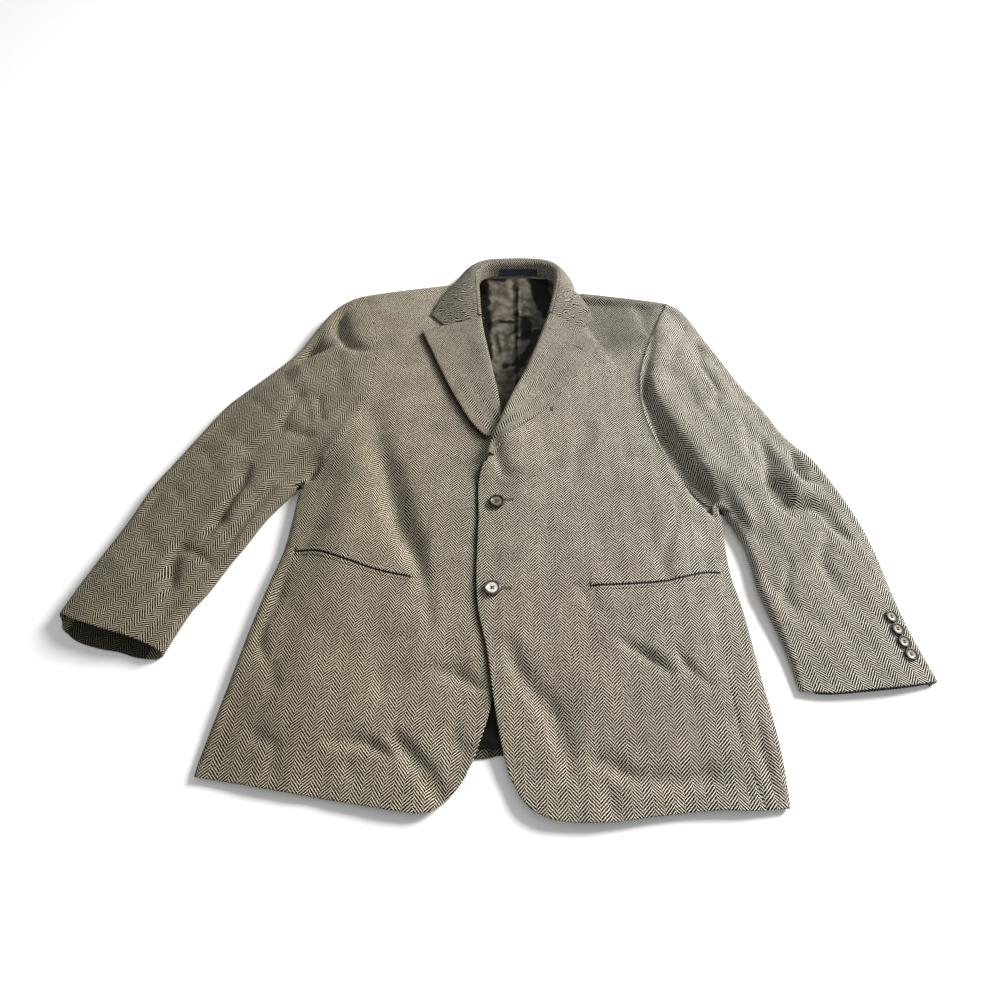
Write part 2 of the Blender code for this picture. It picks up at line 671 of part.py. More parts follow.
def panel(name, outline, folds, height, look=TWEED, wall=WALL, spacing=LATTICE, extra=None):
    """A closed wall of cloth over a plan outline, rolled round its folds."""
    outline = shrunk(outline, SEAM_GAP / 2)
    inside = inner_points(outline, folds, spacing)
    if extra is not None:
        clear = np.linalg.norm(inside[:, None] - extra[None], axis=2).min(axis=1) > spacing / 4
        inside = np.vstack([inside[clear], extra[within(extra, outline)]])
    every = np.vstack([outline, inside])
    edges = [(k, (k + 1) % len(outline)) for k in range(len(outline))]
    mesh = delaunay_2d_cdt([Vector(p) for p in every], edges, [], 1, 1e-4)
    plan = np.array([tuple(v) for v in mesh[0]])
    faces = [tuple(face) for face in mesh[2]]
    used = {}
    for face in faces:
        for a, b in zip(face, face[1:] + face[:1]):
            used[(a, b)] = used.get((a, b), 0) + 1
    rim = [(a, b) for a, b in used if (b, a) not in used]
    outer = laid(plan, folds, height, 0.0)
    inner = laid(plan, folds, height, wall)
    return add_solid(name, np.vstack([outer, inner]), wall_faces(faces, rim, len(plan)), look)


def grid_wall(name, outer, inner, look):
    """A closed wall between two grids of points, rows by columns."""
    rows, columns = outer.shape[:2]
    faces = [
        (r * columns + c, (r + 1) * columns + c, (r + 1) * columns + c + 1, r * columns + c + 1)
        for r in range(rows - 1) for c in range(columns - 1)
    ]
    corner = [[0, c] for c in range(columns)] + [[r, columns - 1] for r in range(1, rows)]
    corner += [[rows - 1, c] for c in range(columns - 2, -1, -1)]
    corner += [[r, 0] for r in range(rows - 2, 0, -1)]
    loop = [r * columns + c for r, c in corner]
    rim = [(b, a) for a, b in zip(loop, loop[1:] + loop[:1])]
    points = np.vstack([outer.reshape(-1, 3), inner.reshape(-1, 3)])
    closed = np.array(wall_faces(faces, rim, rows * columns))
    a, b, c, d = points[closed].transpose(1, 0, 2)
    volume = (a * np.cross(b, c)).sum() + (a * np.cross(c, d)).sum()
    return add_solid(name, points, closed if volume > 0 else closed[:, ::-1], look)


# ---------------------------------------------------------------- panels
def level(points):
    """Height of a panel that lies flat on the table."""
    return np.full(len(points), WALL)


def under_lapel(rows):
    """Points of a front where its lapel lies on it, so that the two follow each other."""
    line = smooth(rows, TRIM_STEP, LAPEL_COLUMNS)
    roll, out = line[:, :2], line[:, 2:4] - line[:, :2]
    out /= np.linalg.norm(out, axis=1)[:, None]
    return np.vstack([roll[:-1] + out[:-1] * far for far in LAPEL_REST])


def waist_cut(side, pocket):
    """The cut across a front: through its pocket's mouth, to the side seam and the edge."""
    outer, *inner = WAIST_ENDS[side]
    mouth = np.column_stack([pocket["x"], pocket["y"]])
    x, y = np.vstack([outer, mouth, inner]).T
    return smooth({"x": x, "y": y})


def make_body(side):
    near = {"left": LAYOUT_LEFT, "right": LAYOUT_RIGHT}[side]
    fold, upper = SIDES[side], UPPERS[side]
    seam, hem, edge = (smooth(near[key]) for key in ("seam", "hem", "edge"))
    waist = waist_cut(side, near["pocket"])
    armhole = ARMHOLES[side]
    under_arm = np.vstack([armhole[::-1], across(fold, fold.by_armpit, OUTWARDS)])
    shoulder = place_near(upper, armhole[-1])
    over_shoulder = np.vstack([armhole, across(upper, shoulder, OUTWARDS, -SEAM_LEAN)])
    far_side = fold.far_edge()
    far_shoulder = upper.far_edge(RUN_ON)
    panel(f"side_{side}", closed_outline([seam, hem, far_side, under_arm]), [fold], cloth_top)
    panel(
        f"front_{side}",
        closed_outline([edge, far_shoulder, over_shoulder, seam, waist]),
        [upper],
        lambda points: front_top(points, side),
        extra=under_lapel(near["lapel"]),
    )
    panel(
        f"front_{side}_skirt",
        closed_outline([np.vstack([hem[::-1], edge[1:]]), waist, seam]),
        [],
        lambda points: front_top(points, side),
    )
    under_side = fold.under_edge(RUN_ON)
    under_shoulder = upper.under_edge()
    outline = closed_outline([
        smooth(CENTRE_BACK), smooth(HEM_BACK), under_side, armhole, under_shoulder,
        smooth(NECK_BACK),
    ])
    panel(f"back_{side}", outline, [], level, spacing=UNDER_LATTICE)


def make_sleeve(side):
    near = {"left": LAYOUT_LEFT, "right": LAYOUT_RIGHT}[side]
    inner, upper, armhole = INNERS[side], UPPERS[side], ARMHOLES[side]
    head = across(upper, place_near(upper, armhole[-1]), OUTWARDS, SEAM_LEAN)[::-1]
    seam = np.vstack([head, armhole[::-1], across(inner, inner.by_armpit, OUTWARDS)])
    cuff = smooth(near["cuff"])
    outline = closed_outline([seam, inner.far_edge(), cuff, upper.far_edge()])
    panel(f"sleeve_{side}_top", outline, [inner, upper], lambda points: cloth_top(points, side))
    under_seam = np.vstack([armhole[::-1], across(inner, inner.by_armpit, INWARDS)])
    cuff = smooth(near["under_cuff"])
    outline = closed_outline([under_seam, inner.under_edge(), cuff, upper.under_edge()])
    panel(f"sleeve_{side}_under", outline, [], level, spacing=UNDER_LATTICE)


# ---------------------------------------------------------------- lapels and collar
def section(centre, thickness):
    """Both faces of a wall whose middle runs, level at first, through (out, up) points."""
    run = np.gradient(centre, axis=0)
    run[0, 1] = 0.0
    run /= np.linalg.norm(run, axis=1)[:, None]
    normal = np.column_stack([-run[:, 1], run[:, 0]])
    return centre + normal * thickness / 2, centre - normal * thickness / 2


def make_lapel(side, rows, notch):
    """A lapel laid on its front, rolled at the inner edge and turned under as facing."""
    line = smooth(rows, TRIM_STEP, LAPEL_COLUMNS)
    walls = {0.0: [], LAPEL_WALL: []}
    for k, (x, y, edge_x, edge_y, radius) in enumerate(line):
        start, end = np.array([x, y]), np.array([edge_x, edge_y])
        width = np.linalg.norm(end - start)
        out = (end - start) / width
        turned = min(LAPEL_FLANGE, width * 0.8)
        slack = 2 * radius - (2 * LAPEL_WALL + 2 * LAPEL_GAP + WALL)
        for depth, grid in walls.items():
            ball = radius - depth
            places = [(turned, -ball), (turned * 0.7, -ball)]
            for angle in np.radians(np.linspace(-90, 90, 6)):
                places.append((radius - ball * math.cos(angle), ball * math.sin(angle)))
            for share in np.linspace(0, 1, LAPEL_FACETS)[1:]:
                places.append((radius + (width - radius) * share, ball))
            run, up = np.array(places).T
            plan = start + out * run[:, None]
            if k == len(line) - 1:
                plan = bent(plan, start, end, np.array(notch, float), run, width)
            base = front_top(plan, side)
            settle = slack * (1 - ease((run - radius) / LAPEL_SETTLE))
            over = base + LAPEL_GAP + LAPEL_WALL - depth + settle
            around = base - WALL - LAPEL_GAP - LAPEL_WALL + radius + up
            height = np.where((up > 0) & (run > radius - 0.01), over, around)
            grid.append(np.column_stack([plan, height]))
    grid_wall(f"lapel_{side}", np.array(walls[0.0]), np.array(walls[LAPEL_WALL]), TWEED)


def bent(plan, start, end, corner, run, width):
    """The last section of a lapel or a collar, led through the notch's corner."""
    share = np.clip(run / width, 0, 1)
    reach = np.clip(np.dot(corner - start, end - start) / width ** 2, 0.05, 0.95)
    push = corner - (start + (end - start) * reach)
    weight = np.where(share < reach, share / reach, (1 - share) / (1 - reach))
    return plan + push * weight[:, None]


def collar_rows():
    names = ("fold_x", "fold_y", "top", "leaf_x", "leaf_y", "leaf_z", "base_x", "base_y", "base_z")
    return smooth(COLLAR, COLLAR_STEP, names)


def bezier(points, count):
    t = np.linspace(0, 1, count)[:, None]
    a, b, c, d = (np.array(p, float) for p in points)
    return (1 - t) ** 3 * a + 3 * t * (1 - t) ** 2 * b + 3 * t * t * (1 - t) * c + t ** 3 * d


def body_below(plan):
    """The top of the front panels where they lie under the collar, else nothing."""
    shoulder = np.full(len(plan), False)
    for side, fold in UPPERS.items():
        outwards = 1 if side == "left" else -1
        beside = (plan[:, 0] - COLLAR_FOOT[side]) * outwards > 0
        shoulder |= beside & (fold.near(plan)[2] > -SEAM_GAP)
    return np.where(shoulder, cloth_top(plan), 0.0)


def make_collar():
    """Collar fall and stand: an upturned U that follows the neckline."""
    rows = collar_rows()
    leaf_outer, leaf_inner, stand_outer, stand_inner = [], [], [], []
    last = len(rows) - 1
    for k, (fx, fy, top, lx, ly, lz, bx, by, bz) in enumerate(rows):
        fold, leaf, base = np.array([fx, fy]), np.array([lx, ly]), np.array([bx, by])
        width = np.linalg.norm(leaf - fold)
        out = (leaf - fold) / width
        crest = top - LAPEL_WALL / 2
        fall = bezier(
            [(COLLAR_ROLL + SEAM_GAP / 2, crest), (0.45 * width, crest + 0.5),
             (0.85 * width, 0.4 * crest + 0.6 * lz), (width, lz)], LEAF_COLUMNS)
        tuck = np.dot(base - fold, out)
        drop = bezier(
            [(COLLAR_ROLL - SEAM_GAP / 2, crest), (-1.5, crest - 0.5), (-1.0, 0.5 * crest + 0.5 * bz),
             (tuck, bz)], STAND_COLUMNS)
        above, below = section(fall, LAPEL_WALL)
        for face, store in ((above, leaf_outer), (below, leaf_inner)):
            plan = fold + out * face[:, :1]
            if k in (0, last):
                corner = np.array(NOTCH_RIGHT if k == 0 else NOTCH_LEFT, float)
                aside = 0.8 * np.array([0.4, 1.0])
                plan = bent(plan, fold, leaf, corner + aside, face[:, 0], width)
            floor = body_below(plan) + LAY_GAP
            lift = np.maximum(floor + LAPEL_WALL - above[:, 1], 0)
            store.append(np.column_stack([plan, face[:, 1] + lift]))
        outside, inside = section(drop, LAPEL_WALL)
        for face, store in ((outside, stand_outer), (inside, stand_inner)):
            store.append(np.column_stack([fold + out * face[:, :1], face[:, 1]]))
    grid_wall("collar_leaf", np.array(leaf_outer), np.array(leaf_inner), TWEED)
    grid_wall("collar_stand", np.array(stand_outer), np.array(stand_inner), TWEED)
    make_label(rows, np.array(stand_outer), np.array(stand_inner))


def make_label(rows, one_face, other_face):
    """A bare label on the side of the stand that faces the neck opening."""
    middle = (one_face + other_face) / 2
    toward_neck = one_face if one_face[:, 3, 1].mean() < other_face[:, 3, 1].mean() else other_face
    normal = toward_neck - middle
    normal /= np.linalg.norm(normal, axis=2)[..., None]
    first, last = LABEL_COLUMNS
    xs = toward_neck[:, first, 0]
    reach = COLLAR_STEP * 2 / 3
    centre = (
        (rows[:, 1] > NECK_BACK_FROM)
        & (xs > LABEL_SPAN[0] - reach) & (xs < LABEL_SPAN[1] + reach)
    )
    span = toward_neck[centre, first:last]
    away = normal[centre, first:last]
    at = np.linspace(*LABEL_SPAN, 6)
    order = np.argsort(span[:, 0, 0])
    grids = []
    for lift in (LAY_GAP + LINING_WALL, LAY_GAP):
        face = span + away * lift
        grids.append(np.array([
            [[np.interp(x, face[order, c, 0], face[order, c, axis]) for axis in range(3)]
             for c in range(face.shape[1])] for x in at
        ]))
    grid_wall("label", grids[0], grids[1], NAVY)


# ---------------------------------------------------------------- linings
def lining(name, plans, rises):
    """A lining lying on the back or under panel, from rows of plan points and heights."""
    lower = np.array([
        np.column_stack([plan, WALL + LAY_GAP + rise]) for plan, rise in zip(plans, rises)
    ])
    grid_wall(name, lower + (0, 0, LINING_WALL), lower, SATIN)


def make_neck_lining():
    """Back lining inside the neck opening, with its centre pleat."""
    lengthwise, widthwise = NECK_GRID
    share = np.linspace(-1, 1, widthwise)
    middle, spread = PLEAT_PLACE
    pleat = CENTRE_PLEAT * np.exp(-((share - middle) / spread) ** 2)
    plans, rises = [], []
    for y in np.linspace(*NECK_LINING, lengthwise):
        draw_in = NECK_DRAW_IN * rising(y, NECK_DRAW_FROM)
        ends = []
        for edge, outwards in ((EDGE_RIGHT, -1), (EDGE_LEFT, 1)):
            at = np.interp(y, edge["y"][NECK_LAPEL_ROWS:], edge["x"][NECK_LAPEL_ROWS:])
            ends.append(at + (NECK_TUCK - draw_in) * outwards)
        plans.append(np.column_stack([np.linspace(*ends, widthwise), np.full(widthwise, y)]))
        up_the_fronts = NECK_SIDE_RISE * (1 - rising(y, NECK_SIDE_UNTIL)) * share ** 2
        up_the_stand = NECK_STAND_RISE * rising(y, NECK_STAND_FROM) * (1 - 0.4 * share ** 2)
        rises.append(up_the_fronts + up_the_stand + pleat)
    lining("lining_neck", plans, rises)


def make_hem_lining():
    """Back lining seen between the rounded corners of the two fronts."""
    (left, right), (low, high) = HEM_LINING
    lengthwise, widthwise = HEM_LINING_GRID
    xs = np.linspace(left, right, widthwise)
    wave = HEM_LINING_WAVE * np.cos((xs - CENTRE_BACK["x"][0]) / HEM_LINING_WAVE_LENGTH) ** 2
    plans, rises = [], []
    for y in np.linspace(low, high, lengthwise):
        plans.append(np.column_stack([xs, np.full(widthwise, y)]))
        rises.append(wave * rising(y, (low, low + 20)))
    lining("lining_hem", plans, rises)


def make_cuff_lining():
    """Sleeve lining inside the open right cuff, from the end of its facing inwards."""
    start, end = np.array(CUFF_LINING_ENDS)
    run = (end - start) / np.linalg.norm(end - start)
    up_sleeve = np.array([-run[1], run[0]]) + run * SLEEVE_SLANT
    lengthwise, widthwise = CUFF_LINING_GRID
    share = np.linspace(0, 1, widthwise)
    plans, rises = [], []
    for far in np.linspace(CUFF_FACING, CUFF_FACING + CUFF_LINING_LENGTH, lengthwise):
        plans.append(start + (end - start) * share[:, None] + up_sleeve * far)
        rises.append(CUFF_LINING_SAG * (2 * share - 1) ** 2)
    lining("lining_cuff_right", plans, rises)


# ---------------------------------------------------------------- pockets and buttons
def make_jets(side, rows):
    """The two cloth strips that edge a pocket's mouth."""
    mouth = smooth(rows, TRIM_STEP)
    tangent = np.gradient(mouth, axis=0)
    tangent /= np.linalg.norm(tangent, axis=1)[:, None]
    up = np.column_stack([-tangent[:, 1], tangent[:, 0]])
    up *= np.sign(up[:, 1:])
    for which, sign in (("upper", 1), ("lower", -1)):
        faces = []
        for lift in (JET_GAP + JET_WALL, JET_GAP):
            lines = []
            for away in (JET_SLIT / 2, JET_SLIT / 2 + JET_WIDTH):
                plan = mouth + up * sign * away
                lines.append(np.column_stack([plan, front_top(plan, side) + lift]))
            faces.append(np.stack(lines, axis=1))
        grid_wall(f"pocket_{side}_{which}", faces[0], faces[1], TWEED)


def turned(name, profile, segments, look):
    """A solid of revolution about z from (radius, height) pairs, bottom to top."""
    points, faces = [(0, 0, profile[0][1])], []
    for radius, height in profile:
        for k in range(segments):
            angle = 2 * math.pi * k / segments
            points.append((radius * math.cos(angle), radius * math.sin(angle), height))
    points.append((0, 0, profile[-1][1]))
    for k in range(segments):
        after = (k + 1) % segments
        faces.append((0, 1 + after, 1 + k))
        for ring in range(len(profile) - 1):
            a = 1 + ring * segments
            faces.append((a + k, a + after, a + segments + after, a + segments + k))
        top = 1 + (len(profile) - 1) * segments
        faces.append((len(points) - 1, top + k, top + after))
    mesh = bpy.data.meshes.new(name)
    mesh.from_pydata([tuple(c * MM for c in p) for p in points], [], faces)
    made = bpy.data.objects.new(name, mesh)
    mesh.materials.append(material("material_" + name, look))
    bpy.context.scene.collection.objects.link(made)
    return made


def make_button(name, x, y, diameter):
    """A four-hole button with a raised rim, lying on the cloth under it."""
    r = diameter / 2
    thick = BUTTON_THICKNESS * diameter
    profile = [(out * r, up * thick) for out, up in zip(*BUTTON_PROFILE.values())]
    made = turned(name, profile, BUTTON_SEGMENTS, HORN)
    holes = []
    for k in range(4):
        angle = math.pi / 4 + k * math.pi / 2
        away = BUTTON_HOLE_AWAY * r * MM
        bpy.ops.mesh.primitive_cylinder_add(
            vertices=6, radius=BUTTON_HOLE * r * MM, depth=4 * thick * MM,
            location=(away * math.cos(angle), away * math.sin(angle), 0),
        )
        holes.append(bpy.context.active_object)
    for hole in holes:
        cut = made.modifiers.new("thread_hole", "BOOLEAN")
        cut.operation = "DIFFERENCE"
        cut.object = hole
        hole.name = name + "_hole"
        hole.hide_render = True
        hole.display_type = "WIRE"
        hole.parent = made
    ring = np.array([
        (x + s * r * math.cos(a), y + s * r * math.sin(a))
        for s in (0.0, 0.5, 1.0) for a in np.linspace(0, 2 * math.pi, 13)
    ])
    heights = cloth_top(ring, "left") if "cuff" in name else front_top(ring, "left")
    slope = np.linalg.lstsq(np.column_stack([ring - (x, y), np.ones(len(ring))]), heights, None)[0]
    normal = Vector((-slope[0], -slope[1], 1)).normalized()
    above = (heights - slope[2] - (ring - (x, y)) @ slope[:2]).max()
    made.rotation_mode = "QUATERNION"
    made.rotation_quaternion = Vector((0, 0, 1)).rotation_difference(normal)
    place = Vector((x - ORIGIN[0], y - ORIGIN[1], slope[2] + above + LAY_GAP))
    made.location = place * MM
    return made


LAYOUT_LEFT = {
    "seam": SEAM_LEFT, "hem": HEM_LEFT, "edge": EDGE_LEFT, "cuff": CUFF_LEFT,
    "under_cuff": CUFF_LEFT, "lapel": LAPEL_LEFT, "pocket": POCKET_LEFT,
}
LAYOUT_RIGHT = {
    "seam": SEAM_RIGHT, "hem": HEM_RIGHT, "edge": EDGE_RIGHT, "cuff": CUFF_RIGHT,
    "under_cuff": UNDER_CUFF_RIGHT, "lapel": LAPEL_RIGHT, "pocket": POCKET_RIGHT,
}


def main():
    for old in list(bpy.data.objects):
        bpy.data.objects.remove(old, do_unlink=True)
    for side in ("left", "right"):
        make_body(side)
        make_sleeve(side)
    make_lapel("left", LAPEL_LEFT, NOTCH_LEFT)
    make_lapel("right", LAPEL_RIGHT, NOTCH_RIGHT)
    make_collar()
    make_neck_lining()
    make_hem_lining()
    make_cuff_lining()
    make_jets("left", POCKET_LEFT)
    make_jets("right", POCKET_RIGHT)
    for name, (x, y, diameter) in BUTTONS.items():
        make_button(name, x, y, diameter)


main()
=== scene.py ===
"""Looks of the tweed jacket: cloth, linings, buttons and stitching round its CAD frame.

Its tables are millimetres in the garment's own plan: y = 0 at the hem's lowest point,
x = 0 at the lap of the fronts, +x the wearer's left. ORIGIN moves them to the frame.
"""

import math

import bpy
import numpy as np
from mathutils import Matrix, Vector
from mathutils.geometry import delaunay_2d_cdt


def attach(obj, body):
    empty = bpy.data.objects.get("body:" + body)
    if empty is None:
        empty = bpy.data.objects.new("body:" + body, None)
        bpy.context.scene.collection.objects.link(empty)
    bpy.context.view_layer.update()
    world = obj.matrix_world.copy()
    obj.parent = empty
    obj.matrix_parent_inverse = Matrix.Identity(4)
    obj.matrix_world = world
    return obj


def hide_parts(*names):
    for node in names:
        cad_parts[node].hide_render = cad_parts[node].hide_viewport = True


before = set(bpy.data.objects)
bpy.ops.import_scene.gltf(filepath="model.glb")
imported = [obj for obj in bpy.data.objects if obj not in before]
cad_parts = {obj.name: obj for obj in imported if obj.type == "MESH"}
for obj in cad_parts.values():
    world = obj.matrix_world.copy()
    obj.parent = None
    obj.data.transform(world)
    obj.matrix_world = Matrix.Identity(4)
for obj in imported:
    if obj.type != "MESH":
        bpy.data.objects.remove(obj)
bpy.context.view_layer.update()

MM = 0.001
ORIGIN = (-14.0, 435.0)  # where the frame's origin lies in the garment's plan
FAR = 1e6                # a distance that no edge of the jacket comes near

# Walls of cloth, and the gaps between pieces that touch.
WALL = 2.0
LAPEL_WALL = 2.6
LINING_WALL = 1.0
JET_WALL = 0.8
SEAM_GAP = 0.16
NOTCH_GAP = 0.3
LAY_GAP = 0.5
LAPEL_GAP = 0.8
LEAF_SETTLE = 1.7        # how far the collar's leaf sinks at its two ends

# How deep and how wide the cloth is drawn down along its seams, and where on the skirt
# the side seams fade out, from the first height to the second.
ARMHOLE_DIP = {"left": 1.6, "right": 0.25}
ARMHOLE_DIP_WIDTH = 3.2
SEAM_DIP = {"left": 0.8, "right": 0.0}
SEAM_DIP_WIDTH = 2.2
SEAM_SHOWS = (100.0, 160.0)
SIDE_SLIP = {"left": (4.0, 5.0), "right": (0.0, 0.0)}  # the side panel's weave, moved

# How the cloth goes on past a folded edge, and how close together its points are.
FLANGE = 12.0
SHOULDER_FLANGE = 5.0
ROLL_STEPS = 10
STEP = 4.0
LATTICE = 3.6
HIDDEN_LATTICE = 12.0
RIM_RINGS = (0.25, 0.7, 1.4, 2.4)
OUTWARDS = np.linspace(0, 80, 24)
INWARDS = (0.0, -30.0)

# How the cloth rises from its folded edges to the crown, and is never lower than LOWEST.
LOWEST = 5.6
BODY_REACH = 70.0
SLEEVE_REACH = 44.0
BLEND_AT_ARMHOLE = 85.0
LAP_FADE = 60.0
LAP_RAISE = 3.4
BREAK_RAISE = 10.2
CREASE_STRENGTH = 1.3
SMOOTH_EDGE = 12.0       # creases and hollows fade out this near to a folded edge

# Details: jets, buttons, label, lapels, collar, neck and cuff linings.
JET_WIDTH = 4.6
JET_SLIT = 2.6
JET_LIFT = 0.25
JET_BED = 0.75           # depth of the hollow that the jets lie in
SLIT_DEPTH = 1.5
POCKET_LINES = (-6.4, -5.2, -4.2, -2.4, -1.3, -0.6, 0.0, 0.6, 1.3, 2.4, 4.2, 5.2, 6.4)
BUTTON_FRONT = 20.0
BUTTON_CUFF = 15.0
BUTTON_THICK = 0.17      # of its diameter
HOLE_OUT = 0.21          # of its radius, as is the next
HOLE_RADIUS = 0.1
THREAD_RADIUS = 0.3
LABEL_SPAN = (-1.0, 61.0)
LABEL_SHARES = (0.60, 0.96)  # the part of the stand's height that the label covers
LAPEL_FLANGE = 16.0
LAPEL_HOLE = ((121.0, 625.0), (110.0, 633.5))
PROUD = {"left": 0.5, "right": 2.8}  # how far a lapel's edge stands off its front
MARK = (71.0, 515.0)
COLLAR_ROLL = 5.5
LEAF_ROWS = 24
STAND_ROWS = 16
SEAM_LEAN = 0.02
NECK_LINING = (497.0, 820.0)
NECK_TUCK = 14.0
NECK_DRAW_IN = 22.0
ABOVE_BREAK = 11         # the rows of EDGE_LEFT and EDGE_RIGHT from here on edge the neck
HEM_LINING_X = (-70, 74)
HEM_LINING_Y = (71, 190)
CUFF_FACING = 30.0
CUFF_LINING_LENGTH = 60.0
CUFF_LINING_ENDS = ((-507.0, 216.5), (-401.0, 181.5))
SLEEVE_SLANT = 0.28

# Painted shadow close beside an edge that lies on the cloth: how much darker, and how far from the
# edge in mm. The last is painted shade on the left front's shoulder.
LAPEL_PAINTED_SHADOW = (0.88, 5.0)
ARMHOLE_PAINTED_SHADOW = (0.8, 3.4)
UNDER_SLEEVE_PAINTED_SHADOW = (0.88, 8.0)
SHOULDER_PAINTED_SHADE = 0.34

LEAST_SHEET = 0.01


def table(columns, *rows):
    """The rows of a size table, as one array for each named column."""
    return dict(zip(columns.split(), np.array(rows, float).T))


# Height of the laid cloth above the table on the middle of the body and of each sleeve.
CROWN = table(
    "y    body  sleeve_left  sleeve_right",
    (-20,  9.5,        10.0,         24.0),
    (40,  11.0,        10.0,         24.0),
    (130, 15.5,        10.0,         25.0),
    (200, 19.0,        13.0,         26.0),
    (300, 25.0,        18.0,         21.0),
    (400, 30.0,        21.0,         22.0),
    (500, 34.0,        23.0,         24.0),
    (600, 36.0,        27.0,         27.0),
    (700, 35.0,        32.0,         31.0),
    (830, 33.0,        34.0,         33.0),
)

# Folded outlines: the extreme edge of the cloth in plan, and the radius it rolls round.
SIDE_LEFT = table(
    "x     y   radius",
    (290, -14, 3.6), (293,  22, 3.8), (295,  60, 4.6), (294, 100, 5.4), (290, 150, 6.2),
    (286, 220, 7.0), (280, 270, 7.0), (280, 310, 7.0), (282, 340, 7.0), (284, 364, 7.0),
)
SIDE_RIGHT = table(
    "x     y   radius",
    (-316,  10, 3.6), (-315,  48, 3.8), (-308,  92, 4.8), (-299, 144, 5.8),
    (-291, 193, 6.4), (-279, 255, 7.0), (-268, 304, 7.0), (-265, 342, 7.0),
    (-264, 374, 7.0), (-263, 403, 7.0),
)
INNER_LEFT = table(
    "x     y   radius",
    (284, 364, 7.0), (294, 343, 7.0), (303, 315, 7.0), (307, 287, 7.0), (308, 255, 7.0),
    (317, 213, 6.0), (325, 176, 4.8), (329, 143, 4.0), (333, 115, 4.0),
)
INNER_RIGHT = table(
    "x     y   radius",
    (-263, 403, 7.0), (-297, 355, 7.0), (-316, 316, 7.0), (-330, 290, 7.0),
    (-348, 250, 8.0), (-361, 228, 9.0), (-371, 202, 9.0), (-380, 175, 9.0),
    (-389, 148, 9.0),
)
# From the neck along the shoulder, round the sleeve head and down the sleeve.
UPPER_LEFT = table(
    "x     y   radius",
    (92,  772, 14.5), (140, 767, 14.5), (188, 760, 14.0), (232, 753, 13.5),
    (266, 745, 13.0), (287, 729, 12.0), (303, 692, 11.0), (324, 644, 9.0),
    (350, 580, 8.0), (374, 530, 8.0), (388, 496, 7.0), (401, 473, 7.0),
    (420, 450, 7.0), (434, 419, 7.0), (450, 372, 7.0), (460, 328, 7.0),
    (465, 285, 6.4), (468, 240, 5.8), (475, 192, 4.8), (486, 142, 4.2),
    (492, 114, 4.0),
)
UPPER_RIGHT = table(
    "x     y   radius",
    (-40,  797, 14.0), (-70, 791, 14.0), (-130, 781, 14.0), (-190, 770, 13.5),
    (-226, 761, 13.0), (-249, 746, 12.5), (-266, 725, 12.0), (-286, 686, 10.0),
    (-299, 657, 8.5), (-313, 633, 8.0), (-328, 614, 8.0), (-352, 585, 8.0),
    (-373, 560, 8.0), (-390, 537, 8.0), (-414, 488, 8.0), (-438, 437, 8.0),
    (-456, 399, 8.0), (-473, 342, 8.0), (-490, 294, 8.5), (-503, 255, 9.0),
    (-514, 219, 9.0), (-524, 186, 9.0),
)

# Seams in plan.
ARMHOLE_LEFT = table(
    "x     y",
    (278, 369), (258, 386), (233, 422), (213, 463), (202, 503), (199, 545),
    (201, 580), (210, 616), (224, 655), (241, 697), (255, 727), (261, 740),
)
ARMHOLE_RIGHT = table(
    "x     y",
    (-257, 408), (-243, 422), (-220, 455), (-199, 500), (-185, 548), (-180, 602),
    (-184, 652), (-194, 697), (-209, 745), (-213, 760),
)
SEAM_LEFT = table(
    "x     y",
    (268, -14), (265, 20), (257, 60), (253, 110), (251, 170), (250, 230), (248, 290),
    (243, 345), (236, 395), (226, 440),
)
SEAM_RIGHT = table(
    "x     y",
    (-287,  10), (-284, 45), (-276, 95), (-267, 145), (-257, 195), (-246, 255),
    (-237, 305), (-232, 350), (-231, 400), (-236, 450),
)
CENTRE_BACK = table("x  y", (-12, 30), (-8, 200), (8, 450), (20, 650), (28, 860))

# Open edges in plan.
HEM_LEFT = table(
    "x     y",
    (14,  34), (23,  19), (38,   7), (62,   0), (107, -1), (160,   5), (214,  10),
    (256, 10), (290, 12), (340, 13),
)
HEM_RIGHT = table(
    "x     y",
    (-35,  42), (-45,  28), (-57,  16), (-74,   8), (-101,  9), (-204, 25),
    (-260, 34), (-312, 42), (-360, 49),
)
HEM_BACK = table(
    "x     y",
    (-360, 53), (-300, 49), (-200, 52), (-100, 59), (-20, 61), (10, 64), (100, 52), (200, 33),
    (290, 19), (340, 14),
)
# Front edge, then the edge that lies inside the roll of the lapel, then the neckline.
EDGE_LEFT = table(
    "x     y",
    (14,  34), (7,   50), (-2,  90), (-9, 133), (-15, 175), (-24, 214), (-28, 250),
    (-28, 300), (-27, 345), (-28, 385), (-24, 412), (-13, 432), (-4, 459), (11, 502),
    (25, 543), (40, 583), (54, 623), (66, 661), (82, 695), (91, 712), (93, 742),
    (97, 774), (113, 792), (115, 830),
)
EDGE_RIGHT = table(
    "x     y",
    (-35,  44), (-27,  60), (-15,  94), (-6, 130), (2,  170), (8,  210), (11, 250),
    (13,  300), (15,  345), (14,  390), (9, 430), (5, 465), (0, 503), (-7, 547),
    (-14, 587), (-21, 627), (-27, 661), (-36, 690), (-43, 706), (-43, 742),
    (-45, 800), (-64, 818), (-66, 860),
)
NECK_BACK = table(
    "x     y",
    (-52, 700), (-50, 750), (-46, 785), (-36, 810), (-14, 823), (28, 827), (68, 823),
    (92, 806), (101, 770), (104, 700),
)
CUFF_LEFT = table(
    "x     y",
    (300, 130), (333, 131), (365, 129), (403, 132), (445, 136), (486, 142), (530, 148),
)
CUFF_RIGHT = table(
    "x     y",
    (-562, 213), (-536, 213), (-527, 218), (-519, 220), (-509, 219), (-486, 209),
    (-456, 199), (-427, 191), (-404, 184), (-390, 178), (-382, 174), (-375, 170),
    (-365, 161), (-354, 153), (-330, 136),
)
